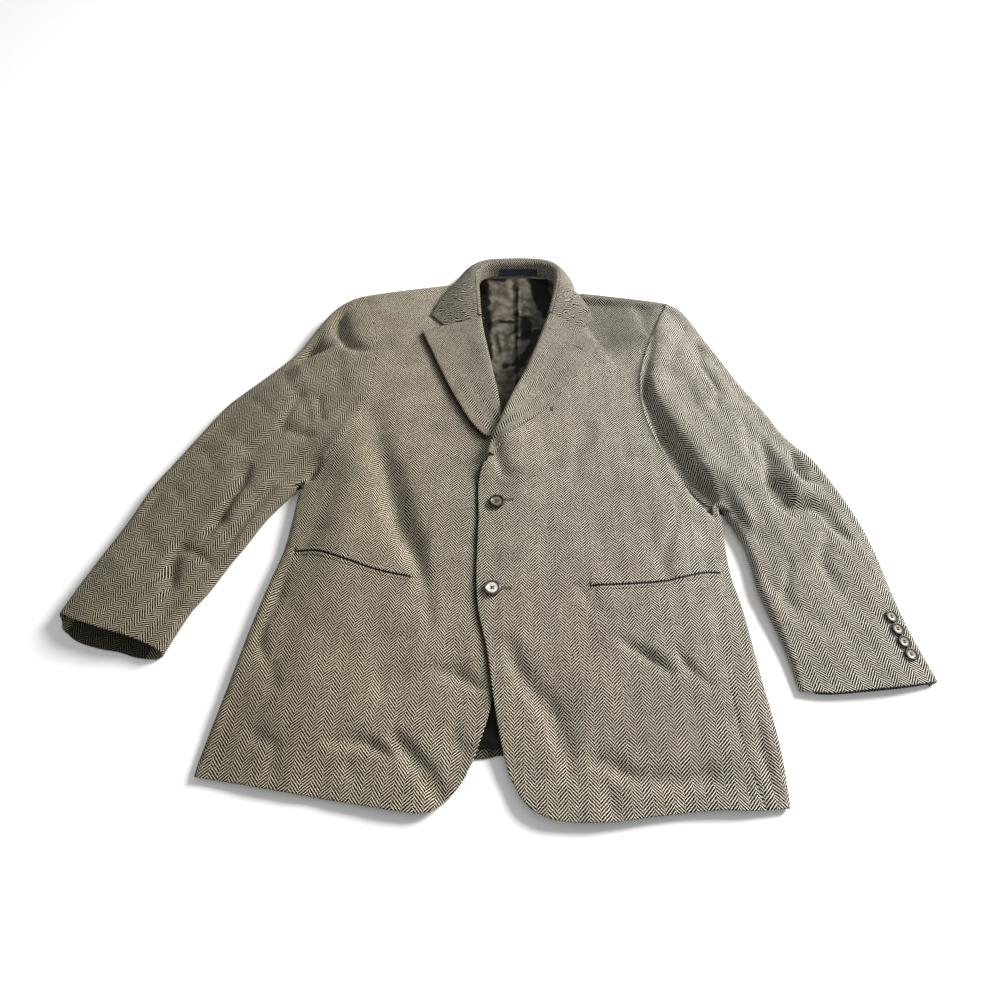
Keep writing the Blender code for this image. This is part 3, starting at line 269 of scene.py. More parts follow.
UNDER_CUFF_RIGHT = table(
    "x     y",
    (-560, 240), (-520, 223), (-508, 206), (-490, 192), (-463, 183), (-436, 178),
    (-416, 172), (-396, 169), (-376, 166), (-330, 154),
)

# Lapels from the break up to the gorge: the roll line, the outer edge, the roll's radius.
LAPEL_LEFT = table(
    "roll_x roll_y edge_x edge_y radius",
    (-18, 432,  -8, 431, 4.8),
    (-10, 460,  11, 461, 5.0),
    (5,   503,  49, 499, 5.6),
    (20,  544,  77, 533, 6.0),
    (35,  584, 103, 567, 6.0),
    (49,  624, 124, 599, 6.0),
    (61,  662, 139, 630, 6.0),
    (73,  702, 146, 647, 5.8),
)
LAPEL_RIGHT = table(
    "roll_x roll_y edge_x edge_y radius",
    (10,  461, -20, 464, 4.6),
    (7,   480, -35, 481, 4.6),
    (3,   503, -48, 503, 4.8),
    (-3,  547, -69, 547, 6.0),
    (-10, 587, -85, 585, 6.0),
    (-17, 627, -98, 618, 6.0),
    (-23, 661, -109, 644, 6.0),
    (-28, 697, -114, 659, 5.8),
)
LAPEL_COLUMNS = ("roll_x", "roll_y", "edge_x", "edge_y", "radius")
NOTCH_LEFT = (122, 672)
NOTCH_RIGHT = (-83, 674)

# Collar from the right gorge round the back of the neck to the left gorge. The fold is
# the inner edge that shows, its top is `top`; the fall ends at the leaf edge, and the
# stand at the base.
COLLAR = table(
    "fold_x fold_y  top  leaf_x leaf_y leaf_z  base_x base_y base_z",
    (-28, 697.6, 42.0, -105, 701, 37.0, -38, 700, 28.0),
    (-30,  722, 42.5,  -97, 724, 36.5, -39, 722, 28.0),
    (-32,  748, 42.5,  -86, 750, 34.0, -38, 748, 27.0),
    (-34,  775, 42.5,  -78, 775, 29.0, -36, 775, 23.0),
    (-35,  800, 39.0,  -70, 806, 15.0, -34, 798, 16.0),
    (-31,  818, 35.0,  -58, 838,  6.0, -28, 813, 11.0),
    (-17,  830, 31.5,  -28, 861,  5.0, -15, 823,  9.0),
    (10,   835, 29.5,   10, 868,  4.5,  10, 827,  8.5),
    (48,   835, 29.5,   50, 868,  4.5,  48, 827,  8.5),
    (73,   829, 31.5,   88, 858,  5.0,  71, 822,  9.0),
    (86,   815, 34.5,  109, 832,  6.0,  83, 810, 11.0),
    (89,   797, 38.5,  118, 800, 15.0,  88, 795, 16.0),
    (87,   773, 42.0,  118, 767, 29.0,  89, 772, 23.0),
    (83,   748, 42.5,  128, 740, 34.0,  88, 747, 27.0),
    (78,   725, 42.5,  136, 715, 36.5,  86, 723, 28.0),
    (73, 702.7, 42.0,  142, 692, 37.0,  83, 700, 28.0),
)

# Hip pocket mouths in plan, from the outer end inwards.
POCKET_LEFT = table("x  y", (266, 272), (246, 271), (217, 263), (188, 257), (151, 254), (106, 252))
POCKET_RIGHT = table(
    "x  y", (-252, 303), (-236, 302), (-220, 299), (-195, 289), (-158, 276), (-132, 269),
    (-104, 263),
)

BUTTONS = {
    "button_front_upper": (-4, 364, BUTTON_FRONT),
    "button_front_lower": (-9, 247, BUTTON_FRONT),
    "button_cuff_1": (454, 217, BUTTON_CUFF),
    "button_cuff_2": (457, 202, BUTTON_CUFF),
    "button_cuff_3": (460, 187, BUTTON_CUFF),
    "button_cuff_4": (463, 172, BUTTON_CUFF),
}

# Deep folds, from the collar towards the hem: x, y, the widths of the wall that faces the
# light and of the one that faces away from it, and the depth of the trough between them,
# below zero for a ridge.
HOLLOWS = (
    ((240, 706, 7, 6, 2.5), (223, 637, 6, 5, 4), (207, 581, 6, 6, 8), (205, 548, 8, 10, 15),
     (212, 511, 10, 16, 23), (224, 472, 11, 18, 29), (238, 439, 12, 18, 32),
     (250, 412, 12, 15, 32), (259, 395, 12, 12, 31), (268, 381, 10, 9, 28), (275, 366, 8, 8, 23),
     (278, 351, 5, 6, 15)),
    ((217, 743, 9, 14, 4.5), (219, 706, 9, 14, 6), (221, 671, 8, 11, 4.5)),
    ((284, 693, 6, 8, 2), (264, 643, 6, 7, 2.5), (242, 585, 6, 7, 1.5)),
    ((297, 650, 6, 7, 3.5), (294, 609, 4, 9, 6.3), (304, 583, 4, 7, 6.3), (311, 561, 4, 9, 5.6),
     (302, 535, 4, 7, 2.1)),
    ((272, 571, 9, 11, 2), (274, 531, 8, 11, 2.5), (262, 506, 7, 8, 1.5)),
    ((358, 476, 7, 9, 4.2), (357, 443, 7, 13, 11.2), (352, 406, 7, 18, 16.8),
     (359, 378, 8, 19, 18.2), (374, 361, 8, 18, 16.8), (396, 367, 6, 15, 12.6),
     (409, 360, 6, 15, 11.2), (416, 340, 5, 11, 8.4), (426, 326, 5, 9, 5.6),
     (438, 316, 4, 6, 2.1)),
    ((394, 453, 3, 8, 4.5), (392, 427, 4, 16, 13.5), (400, 410, 4, 10, 7.5), (412, 406, 4, 7, 3)),
    ((338, 497, 7, 10, 2.6), (336, 458, 7, 11, 3.9), (339, 433, 7, 9, 2.6)),
    ((351, 286, 4, 5, 2.2), (343, 261, 4, 6, 4.5), (333, 235, 4, 6, 2.2)),
    ((405, 326, 6, 7, 3), (390, 286, 6, 8, 3.8), (399, 248, 6, 8, 2.2)),
    ((313, 270, 4, 10, 2.5), (321, 253, 4, 10, 2.5)),
    ((-252, 740, 8, 10, 5), (-252, 709, 8, 13, 11), (-242, 671, 8, 13, 12),
     (-228, 645, 7, 12, 10), (-209, 632, 6, 10, 6), (-188, 628, 5, 8, 2)),
    ((-292, 627, 3, 12, 5.6), (-281, 637, 4, 16, 11.2), (-260, 641, 4, 9, 4.2)),
    ((-333, 425, 5, 7, 3.2), (-339, 400, 5, 8, 8), (-348, 375, 5, 8, 8.8),
     (-356, 351, 5, 9, 10.4), (-364, 329, 5, 7, 6.4)),
    ((-299, 393, 6, 8, 3.8), (-316, 363, 6, 8, 4.5), (-330, 333, 6, 9, 5.2),
     (-335, 304, 6, 7, 3)),
    ((-395, 308, 5, 10, 4.5), (-400, 287, 5, 12, 9), (-394, 263, 5, 11, 9), (-393, 242, 5, 8, 3)),
    ((-387, 303, 5, 6, 3), (-370, 297, 5, 6, 5.2), (-354, 287, 4, 5, 3)),
    ((-337, 452, 8, 11, 3.8), (-321, 467, 8, 11, 4.5), (-295, 490, 8, 12, 5.2),
     (-263, 476, 8, 11, 4.5)),
    ((-286, 550, 6, 7, 3.5), (-296, 520, 6, 8, 4.2), (-304, 495, 5, 8, 2.8)),
    ((-257, 541, 4, 7, 3), (-247, 504, 4, 7, 2.5)),
    ((-437, 422, 4, 8, 2), (-447, 390, 4, 8, 3), (-454, 362, 4, 8, 2.5)),
    ((-302, 348, 4, 8, 3), (-307, 326, 4, 7, 3)),
    ((-364, 233, 4, 7, 3), (-371, 215, 3, 7, 2)),
    ((-261, 403, 4, 7, 5.2), (-249, 413, 4, 7, 6.5), (-240, 433, 4, 7, 3.2)),
    ((-265, 277, 4, 10, 3.9), (-267, 244, 4, 12, 7.2), (-271, 220, 3, 9, 3.9)),
    ((-275, 215, 3, 7, 3.9), (-278, 189, 3, 10, 5.9), (-267, 168, 3, 8, 3.2)),
    ((-168, 500, 16, 16, 3), (-165, 465, 16, 18, 6.5), (-157, 432, 15, 19, 9.5),
     (-142, 387, 14, 20, 12), (-131, 350, 13, 20, 13.5), (-123, 328, 12, 20, 14),
     (-111, 308, 11, 19, 13.5), (-103, 291, 10, 15, 11.5), (-96, 272, 9, 11, 7),
     (-88, 243, 8, 10, 3.5), (-79, 200, 7, 8, 2.5)),
    ((-110, 82, 5, 7, 4.4), (-102, 70, 5, 9, 8.8), (-92, 58, 5, 10, 10), (-81, 46, 6, 11, 9.4),
     (-72, 35, 6, 12, 8.1), (-64, 23, 6, 11, 5.6)),
    ((-175, 75, 6, 10, 3.9), (-151, 76, 6, 11, 5.9), (-135, 72, 5, 8, 7.2),
     (-118, 63, 4, 6, 3.9)),
    ((-159, 55, 6, 9, 3), (-151, 43, 6, 9, 2)),
    ((-73, 153, 7, 9, 3.2), (-49, 147, 7, 10, 4.5), (-26, 133, 5, 8, 3.9)),
    ((-50, 82, 7, 12, 3.9), (-39, 65, 7, 11, 4.5), (-49, 49, 6, 9, 2.6)),
    ((-136, 149, 7, 11, 3.5), (-130, 129, 6, 10, 2.5)),
    ((-257, 81, 7, 10, 3), (-238, 72, 7, 10, 3.5), (-237, 50, 7, 11, 3)),
    ((-257, 158, 7, 9, 3), (-249, 138, 7, 9, 2.5)),
    ((135, 185, 5, 7, 3), (154, 174, 6, 8, 6), (170, 163, 6, 8, 7), (184, 151, 4, 7, 4)),
    ((197, 174, 3, 6, 2.5), (205, 158, 3, 6, 4), (217, 146, 3, 5, 3.5), (231, 133, 3, 5, 1.5)),
    ((12, 176, 8, 11, 3.8), (17, 155, 8, 12, 6.2), (29, 135, 8, 14, 7.5), (45, 118, 9, 15, 8.1),
     (53, 103, 8, 15, 7.5), (60, 86, 8, 14, 6.2), (68, 68, 7, 11, 5), (70, 48, 7, 10, 3.8)),
    ((101, 56, 7, 12, 4.8), (119, 48, 7, 13, 6.6), (136, 40, 7, 11, 4.8)),
    ((109, 29, 7, 10, 4), (112, 11, 7, 10, 4)),
    ((155, 38, 7, 12, 3.9), (183, 36, 7, 12, 5.2), (214, 41, 7, 10, 3.9)),
    ((275, 121, 3, 7, 2), (274, 94, 3, 7, 3.5), (273, 68, 3, 8, 4), (275, 46, 3, 7, 4),
     (277, 27, 3, 6, 2.5)),
    ((225, 361, 5, 6, 1.8), (216, 333, 5, 6, 3.6), (202, 303, 6, 9, 3.6), (194, 284, 6, 11, 4.8),
     (198, 265, 6, 8, 3)),
    ((118, 483, 9, 12, 2.5), (101, 437, 9, 13, 3.5), (91, 400, 8, 10, 2)),
    ((122, 752, 9, 62, 8), (132, 700, 9, 72, 14), (148, 655, 9, 58, 10), (166, 610, 9, 34, 3)),
    ((-8, 454, 5, 9, 4.8), (-5, 429, 5, 12, 6), (3, 407, 5, 10, 3.6)),
    ((110, 254, 2, 4, 1.6), (110, 243, 2, 4, 2), (113, 231, 2, 3, 1)),
    ((300, 393, 10, 13, -3), (308, 368, 10, 13, -7), (312, 343, 9, 13, -7),
     (311, 318, 7, 11, -2.5)),
    ((-180, 550, 11, 11, -2.5), (-204, 490, 11, 11, -3.5), (-232, 444, 11, 9, -3),
     (-253, 418, 8, 8, -2)),
    ((254, 675, 9, 9, -2.5), (234, 613, 9, 9, -2.5), (219, 558, 7, 8, -1.5)),
)

# Smaller creases, listed one by one: troughs, or ridges where the depth is negative.
CREASES = table(
    "from_x from_y to_x to_y width depth",
    (-318, 600, -296, 560, 8, 1.6),
    (-352, 548, -322, 520, 7, 1.2),
    (-372, 480, -330, 455, 9, 1.5),
    (-398, 455, -372, 420, 8, 1.3),
    (-340, 420, -318, 380, 10, 1.6),
    (-428, 400, -404, 372, 7, 1.1),
    (-352, 352, -338, 322, 7, 1.4),
    (-446, 330, -418, 300, 9, 1.3),
    (-470, 290, -440, 262, 8, -1.0),
    (-402, 268, -380, 246, 8, 1.2),
    (-484, 250, -462, 228, 9, 0.8),
    (-286, 560, -262, 500, 9, 1.5),
    (-270, 690, -262, 655, 9, -1.8),
    (-240, 640, -226, 560, 10, 1.2),
    (-296, 610, -286, 588, 7, -1.5),
    (372, 400, 356, 360, 11, 1.5),
    (396, 352, 420, 322, 9, 1.2),
    (436, 330, 446, 300, 8, -0.9),
    (352, 470, 372, 430, 10, 1.3),
    (330, 520, 346, 470, 11, 1.6),
    (300, 560, 318, 500, 12, 1.4),
    (270, 640, 282, 560, 11, -1.2),
    (246, 600, 262, 540, 9, 1.3),
    (318, 262, 342, 236, 8, 1.2),
    (344, 232, 372, 204, 9, 1.0),
    (300, 350, 322, 322, 9, 1.5),
    (404, 262, 424, 228, 10, 0.9),
    (384, 560, 372, 530, 8, 0.9),
    (240, 690, 262, 720, 9, 0.9),
    (212, 520, 226, 460, 7, -1.2),
    (-60, 380, -72, 300, 14, 0.9),
    (-150, 420, -168, 330, 16, 1.1),
    (-200, 420, -228, 340, 14, 1.3),
    (-228, 330, -246, 300, 9, 1.1),
    (-170, 560, -190, 500, 13, 1.2),
    (-60, 560, -96, 480, 13, 0.8),
    (-160, 240, -120, 150, 16, 0.9),
    (-236, 220, -256, 120, 11, 0.9),
    (-96, 232, -110, 150, 12, 0.8),
    (-60, 200, -44, 110, 13, 0.8),
    (-210, 170, -190, 80, 14, -0.9),
    (52, 330, 66, 250, 14, 0.7),
    (110, 360, 128, 290, 16, 0.9),
    (168, 350, 190, 300, 13, 0.9),
    (206, 420, 226, 360, 10, 1.3),
    (240, 350, 262, 310, 10, 1.2),
    (120, 560, 156, 480, 16, 0.9),
    (92, 250, 112, 222, 6, 1.6),
    (60, 180, 66, 90, 15, 0.8),
    (120, 150, 128, 60, 14, -0.8),
    (200, 130, 214, 40, 13, 0.8),
    (252, 220, 262, 150, 9, 1.0),
    (150, 700, 168, 650, 16, 0.8),
    (-150, 720, -166, 660, 15, 0.8),
    (-2, 400, 2, 372, 8, 1.2),
)

# Creases of the back lining in the neck, in the same form.
NECK_CREASES = table(
    "from_x from_y to_x to_y width depth",
    (-24, 790, 10, 805, 4.0, -2.6),
    (-26, 781, 8, 792, 3.0, 1.6),
    (-24, 728, 34, 737, 3.4, 2.4),
    (-12, 742, 8, 758, 5.0, -2.2),
    (12, 756, 30, 742, 4.0, -1.6),
    (21, 812, 22, 700, 3.2, 1.8),
    (30, 800, 27, 640, 3.0, -1.6),
    (22, 700, 15, 560, 3.0, 1.4),
    (2, 560, 30, 606, 6.0, -2.2),
    (48, 640, 66, 716, 4.5, -3.0),
    (56, 640, 76, 712, 3.5, 2.2),
    (-2, 700, 4, 640, 4.0, -1.6),
    (6, 668, 34, 690, 3.6, 1.6),
    (38, 770, 46, 700, 5.0, -1.3),
    (52, 800, 66, 760, 5.0, 1.6),
    (-10, 690, 12, 610, 5.0, 1.2),
    (-22, 715, -4, 660, 5.0, 1.4),
)
# Slow waves of the cloth: size, height and seed.
NOISE = ((95.0, 1.8, 3), (46.0, 1.4, 11), (23.0, 0.55, 29), (11.0, 0.12, 41))
# How the weave of each part is turned and moved, and the line it follows in a sleeve.
GRAIN_RIGHT = math.radians(5.0)
GRAIN_SHIFT = {"left": (-6.7, 0.0), "right": (0.0, 0.0)}
GRAIN_LEAN = {"left": math.radians(-3.0), "right": math.radians(9.0)}
AXIS_LEFT = table(
    "x   y   radius",
    (236, 800, 0), (256, 700, 0), (284, 590, 0), (318, 480, 0), (350, 395, 0), (374, 310, 0),
    (392, 225, 0), (409, 130, 0), (420, 60, 0),
)
AXIS_RIGHT = table(
    "x   y   radius",
    (-214, 820, 0), (-236, 720, 0), (-264, 610, 0), (-306, 510, 0), (-352, 425, 0),
    (-392, 340, 0), (-425, 265, 0), (-455, 190, 0), (-480, 120, 0),
)


def smooth(rows, step=STEP, columns=("x", "y")):
    """Points about `step` apart on a smooth curve through a table's rows."""
    knots = np.column_stack([rows[name] for name in columns])
    padded = np.vstack([2 * knots[0] - knots[1], knots, 2 * knots[-1] - knots[-2]])
    points = []
    for before, start, end, after in zip(padded, padded[1:], padded[2:], padded[3:]):
        count = max(1, round(np.linalg.norm((end - start)[:2]) / step))
        t = np.arange(count)[:, None] / count
        points.append(
            0.5 * (2 * start + (end - before) * t
                   + (2 * before - 5 * start + 4 * end - after) * t ** 2
                   + (3 * start - before - 3 * end + after) * t ** 3)
        )
    points.append(knots[-1:])
    return np.vstack(points)


def along(rows, name, at):
    """A table's column read at heights `at`, on a smooth curve through its rows."""
    knots, values = rows["y"], rows[name]
    slope = np.gradient(values, knots)
    at = np.clip(at, knots[0], knots[-1])
    i = np.clip(np.searchsorted(knots, at) - 1, 0, len(knots) - 2)
    width = knots[i + 1] - knots[i]
    t = (at - knots[i]) / width
    return ((1 + 2 * t) * (1 - t) ** 2 * values[i] + t * (1 - t) ** 2 * width * slope[i]
            + t * t * (3 - 2 * t) * values[i + 1] + t * t * (t - 1) * width * slope[i + 1])


def ease(share):
    """From 0 to 1 without a corner at either end."""
    share = np.clip(share, 0.0, 1.0)
    return share * share * (3 - 2 * share)


def bell(distance, width):
    return np.exp(-((distance / width) ** 2))


def unit(rows):
    """Each row of an array as a vector of length 1."""
    return rows / np.linalg.norm(rows, axis=1)[:, None]


def directions(line):
    """The way that a line runs at each of its points."""
    return unit(np.gradient(line, axis=0))


def to_left(rows):
    """Each (x, y) row turned a quarter to the left."""
    return np.column_stack([-rows[:, 1], rows[:, 0]])


def lengths_to(points):
    """The length of a path up to each of its points."""
    return np.concatenate([[0], np.cumsum(np.linalg.norm(np.diff(points, axis=0), axis=1))])


def nearest_on(points, line):
    """The foot of each point on a polyline, the segment that it is on, and its share."""
    start, run = line[:-1], np.diff(line, axis=0)
    length = (run * run).sum(1)
    feet, segments, shares = [], [], []
    for part in np.array_split(points, 1 + len(points) // 4000):
        away = part[:, None, :] - start[None]
        share = np.clip((away * run).sum(2) / length, 0, 1)
        foot = start + share[..., None] * run
        best = ((part[:, None, :] - foot) ** 2).sum(2).argmin(1)
        row = np.arange(len(part))
        feet.append(foot[row, best])
        segments.append(best)
        shares.append(share[row, best])
    return np.vstack(feet), np.concatenate(segments), np.concatenate(shares)


def gap_to(points, line):
    return np.linalg.norm(points - nearest_on(points, line)[0], axis=1)


def noise(points, scale, seed):
    """Smooth noise between -1 and 1 over the plan."""
    cell = np.floor(points / scale)
    t = points / scale - cell
    t = t * t * (3 - 2 * t)
    total = 0.0
    for i, weight_x in ((0, 1 - t[:, 0]), (1, t[:, 0])):
        for j, weight_y in ((0, 1 - t[:, 1]), (1, t[:, 1])):
            turn = np.sin((cell[:, 0] + i) * 12.9898 + (cell[:, 1] + j) * 78.233 + seed)
            value = turn * 43758.5453
            total = total + weight_x * weight_y * (2 * (value - np.floor(value)) - 1)
    return total


class Fold:
    """A folded side of the cloth: its extreme edge in plan, and how wide it rolls."""

    def __init__(self, rows, inside, flange, armpit=None):
        knots = smooth(rows, 7.0, ("x", "y", "radius"))
        self.line, self.radii, self.flange, self.armpit = knots[:, :2], knots[:, 2], flange, armpit
        self.tangents = directions(self.line)
        self.inwards = to_left(self.tangents) * inside
        self.lengths = lengths_to(self.line)

    def near(self, points):
        parts = [self.near_part(part) for part in np.array_split(points, 1 + len(points) // 4000)]
        return [np.concatenate(column) for column in zip(*parts)]

    def near_part(self, points):
        """Foot, inward direction, inward distance, roll radius and length at each point.

        Past an end the fold runs straight on, but at the armpit the cloth isn't folded,
        and a point past it is endlessly far inside."""
        ahead = ((points[:, None] - self.line[None]) * self.tangents[None]).sum(2)
        start, end = ahead[:, :-1], -ahead[:, 1:]
        whole = start + end
        share = np.clip(start / np.where(np.abs(whole) < 1e-6, 1.0, whole), 0, 1)
        feet = self.line[:-1] + share[..., None] * np.diff(self.line, axis=0)
        gap = np.linalg.norm(points[:, None] - feet, axis=2) + FAR * ((start < 0) | (end < 0))
        row, best = np.arange(len(points)), gap.argmin(1)
        foot, share = feet[row, best], share[row, best][:, None]
        inward = self.inwards[best] * (1 - share) + self.inwards[best + 1] * share
        radius = self.radii[best] * (1 - share[:, 0]) + self.radii[best + 1] * share[:, 0]
        length = self.lengths[best] * (1 - share[:, 0]) + self.lengths[best + 1] * share[:, 0]
        inward = unit(inward)
        for place, past in ((0, ahead[:, 0] < 0), (-1, ahead[:, -1] > 0)):
            outside = past & (gap[row, best] > FAR)
            foot[outside] = self.line[place] + self.tangents[place] * ahead[outside, place, None]
            inward[outside] = self.inwards[place]
            length[outside] = self.lengths[place] + ahead[outside, place]
            if place == self.armpit:
                foot[outside] -= inward[outside] * FAR
        return foot, inward, ((points - foot) * inward).sum(1), radius, length

    def offset(self, extra, roll, longer=0.0):
        """The fold's edge moved inwards by `extra` mm and `roll` times its radius."""
        moved = self.line + self.inwards * (extra + roll * self.radii)[:, None]
        if not longer:
            return moved
        first, last = self.tangents[0] * longer, self.tangents[-1] * longer
        return np.vstack([moved[0] - first, moved, moved[-1] + last])

    def far_edge(self, longer=0.0):
        return self.offset(-self.flange, 1 - math.pi, longer)

    def under_edge(self, longer=0.0):
        return self.offset(self.flange, 1, longer)


SIDES = {"left": Fold(SIDE_LEFT, 1, FLANGE, -1), "right": Fold(SIDE_RIGHT, -1, FLANGE, -1)}
INNERS = {"left": Fold(INNER_LEFT, 1, FLANGE, 0), "right": Fold(INNER_RIGHT, -1, FLANGE, 0)}
UPPERS = {
    "left": Fold(UPPER_LEFT, -1, SHOULDER_FLANGE),
    "right": Fold(UPPER_RIGHT, 1, SHOULDER_FLANGE),
}
AXES = {"left": Fold(AXIS_LEFT, 1, 0), "right": Fold(AXIS_RIGHT, 1, 0)}
ALL_FOLDS = [*SIDES.values(), *INNERS.values(), *UPPERS.values()]
ARMHOLES = {"left": smooth(ARMHOLE_LEFT), "right": smooth(ARMHOLE_RIGHT)}
SIDE_SEAMS = {"left": smooth(SEAM_LEFT), "right": smooth(SEAM_RIGHT)}
HIDDEN_SEAMS = [ARMHOLES["right"], *SIDE_SEAMS.values()]
MOUTHS = {"left": smooth(POCKET_LEFT, 3.0), "right": smooth(POCKET_RIGHT, 3.0)}
EDGE_CURVE_RIGHT = smooth(EDGE_RIGHT)


def crossing(first, second):
    """Where two polylines cross, as (place on the first, place on the second, point)."""
    starts, runs = second[:-1], np.diff(second, axis=0)
    for i, (a, b) in enumerate(zip(first, first[1:])):
        run = b - a
        area = run[0] * runs[:, 1] - run[1] * runs[:, 0]
        area = np.where(np.abs(area) < 1e-9, np.inf, area)
        away = starts - a
        t = (away[:, 0] * runs[:, 1] - away[:, 1] * runs[:, 0]) / area
        s = (away[:, 0] * run[1] - away[:, 1] * run[0]) / area
        hit = np.flatnonzero((t >= 0) & (t <= 1) & (s >= 0) & (s <= 1) & np.isfinite(area))
        if len(hit):
            return i, hit[0], a + t[hit[0]] * run
    raise ValueError(f"outlines from {first[0]} and {second[0]} don't cross")


def closed_outline(curves):
    """One closed outline from curves that cross in turn, each cut at its neighbours."""
    cuts = [crossing(curve, curves[(k + 1) % len(curves)]) for k, curve in enumerate(curves)]
    points = []
    for k, curve in enumerate(curves):
        entry, leave = cuts[k - 1], cuts[k]
        start, end = entry[1], leave[0]
        points.append(entry[2])
        if (end, np.linalg.norm(leave[2] - curve[end])) >= (
            start, np.linalg.norm(entry[2] - curve[start])
        ):
            points.extend(curve[start + 1:end + 1])
        else:
            points.extend(curve[start:end:-1])
    points = np.array(points)
    far = np.linalg.norm(points - np.roll(points, 1, axis=0), axis=1) > 1.2
    points = points[far]
    return points if signed_area(points) > 0 else points[::-1]


def signed_area(points):
    x, y = points.T
    return (x * np.roll(y, -1) - y * np.roll(x, -1)).sum() / 2


def shrunk(outline, by):
    """A closed outline, anticlockwise, moved inwards by `by`."""
    before = outline - np.roll(outline, 1, axis=0)
    after = np.roll(outline, -1, axis=0) - outline
    normals = []
    for run in (before, after):
        normals.append(to_left(unit(run)))
    mean = normals[0] + normals[1]
    scale = np.maximum((mean * normals[0]).sum(1), 0.5)
    return outline + mean * (by / scale)[:, None]


def across(fold, place, distances, lean=0.0):
    """Points square to a fold's edge at one of its points, from the crest outwards."""
    tangent, inward = fold.tangents[place], fold.inwards[place]
    crest = fold.line[place] + inward * fold.radii[place]
    return crest + (lean * tangent - inward) * np.array(distances, float)[:, None]


def place_near(fold, point):
    return int(np.linalg.norm(fold.line - point, axis=1).argmin())


# ---------------------------------------------------------------- heights of the laid cloth
def gap_to_outline(points, outline):
    return gap_to(points, np.vstack([outline, outline[:1]]))


def crease_depth(points, rows):
    depth = np.zeros(len(points))
    for x0, y0, x1, y1, width, deep in zip(*rows.values()):
        depth += deep * bell(gap_to(points, np.array([[x0, y0], [x1, y1]])), width)
    return depth


def hollow_depth(points):
    depth = np.zeros(len(points))
    for rows in map(np.array, HOLLOWS):
        foot, segment, share = nearest_on(points, rows[:, :2])
        away = points - foot
        run = np.diff(rows[:, :2], axis=0)[segment]
        turn = run[:, 0] * away[:, 1] - run[:, 1] * away[:, 0]
        gap = np.linalg.norm(away, axis=1)
        east = ease(0.5 + 0.5 * turn / np.maximum(gap * np.linalg.norm(run, axis=1), 1e-9))
        share = share[:, None]
        near, far, deep = (rows[segment, 2:] * (1 - share) + rows[segment + 1, 2:] * share).T
        depth += deep * bell(gap, near + (far - near) * east)
    return depth


def relief(points):
    return sum(size * noise(points, scale, seed) for scale, size, seed in NOISE)


def cloth_top(points, sleeve=None):
    """Height of the upper surface of the body's cloth, or of a sleeve's."""
    distance = np.full(len(points), 1e9)
    radius = np.zeros(len(points))
    for fold in ALL_FOLDS:
        foot, segment, share = nearest_on(points, fold.line)
        own = fold.radii[segment] * (1 - share) + fold.radii[segment + 1] * share
        gap = np.linalg.norm(points - foot, axis=1)
        closer = gap < distance
        distance = np.where(closer, gap, distance)
        radius = np.where(closer, own, radius)
    crown = along(CROWN, "body", points[:, 1])
    reach = BODY_REACH
    if sleeve:
        share = ease(gap_to(points, ARMHOLES[sleeve]) / BLEND_AT_ARMHOLE)
        crown += (along(CROWN, "sleeve_" + sleeve, points[:, 1]) - crown) * share
        reach = BODY_REACH + (SLEEVE_REACH - BODY_REACH) * share
    inside = np.maximum(distance - radius, 0)
    rise = ease(inside / reach)
    depth = hollow_depth(points) + CREASE_STRENGTH * crease_depth(points, CREASES) - relief(points)
    top = 2 * radius + (crown - 2 * radius) * rise - depth * ease(inside / SMOOTH_EDGE)
    top = np.maximum(top, LOWEST)
    rolled = radius + np.sqrt(np.maximum(radius ** 2 - (radius - distance) ** 2, 0))
    return np.where(distance < radius, rolled, top)


def low_down(y):
    """How plainly the side seam shows at a height on the skirt."""
    return 1 - ease((y - SEAM_SHOWS[0]) / (SEAM_SHOWS[1] - SEAM_SHOWS[0]))


def seam_dip(points, side):
    """How far the cloth is drawn down along its armhole and side seam."""
    dip = ARMHOLE_DIP[side] * bell(gap_to(points, ARMHOLES[side]), ARMHOLE_DIP_WIDTH)
    shows = SEAM_DIP[side] * low_down(points[:, 1])
    return dip + shows * bell(gap_to(points, SIDE_SEAMS[side]), SEAM_DIP_WIDTH)


def pocket_dip(points, side):
    """The hollow that a pocket's jets lie in, and the slit between them."""
    gap = gap_to(points, MOUTHS[side])
    return JET_BED * (1 - ease((gap - JET_WIDTH) / 1.8)) + SLIT_DEPTH * bell(gap, 1.2)


def left_front_raise(points):
    """How far the left front lies above the body's level, over the right front."""
    x, y = points.T
    edge = np.interp(y, EDGE_CURVE_RIGHT[:, 1], EDGE_CURVE_RIGHT[:, 0])
    full = LAP_RAISE + (BREAK_RAISE - LAP_RAISE) * ease((y - 385) / 40)
    fade = 1 - ease((x - edge - 6) / LAP_FADE)
    return full * fade * (1 - ease((y - 530) / 80)) * ease((y - 20) / 90)


def front_top(points, side):
    top = cloth_top(points)
    return top + left_front_raise(points) if side == "left" else top


def body_surface(side, raised):
    """The height of a body panel's cloth, as a function of points in plan."""
    def height(points):
        top = front_top(points, side) if raised else cloth_top(points)
        return top - seam_dip(points, side) - pocket_dip(points, side)
    return height


# ---------------------------------------------------------------- meshes
PIECES = {}      # each piece of cloth by name: its object, flat size and flat area
GOES_WITH = {}   # the small pieces that belong to a piece of cloth
LOOSE = []       # buttons and threads


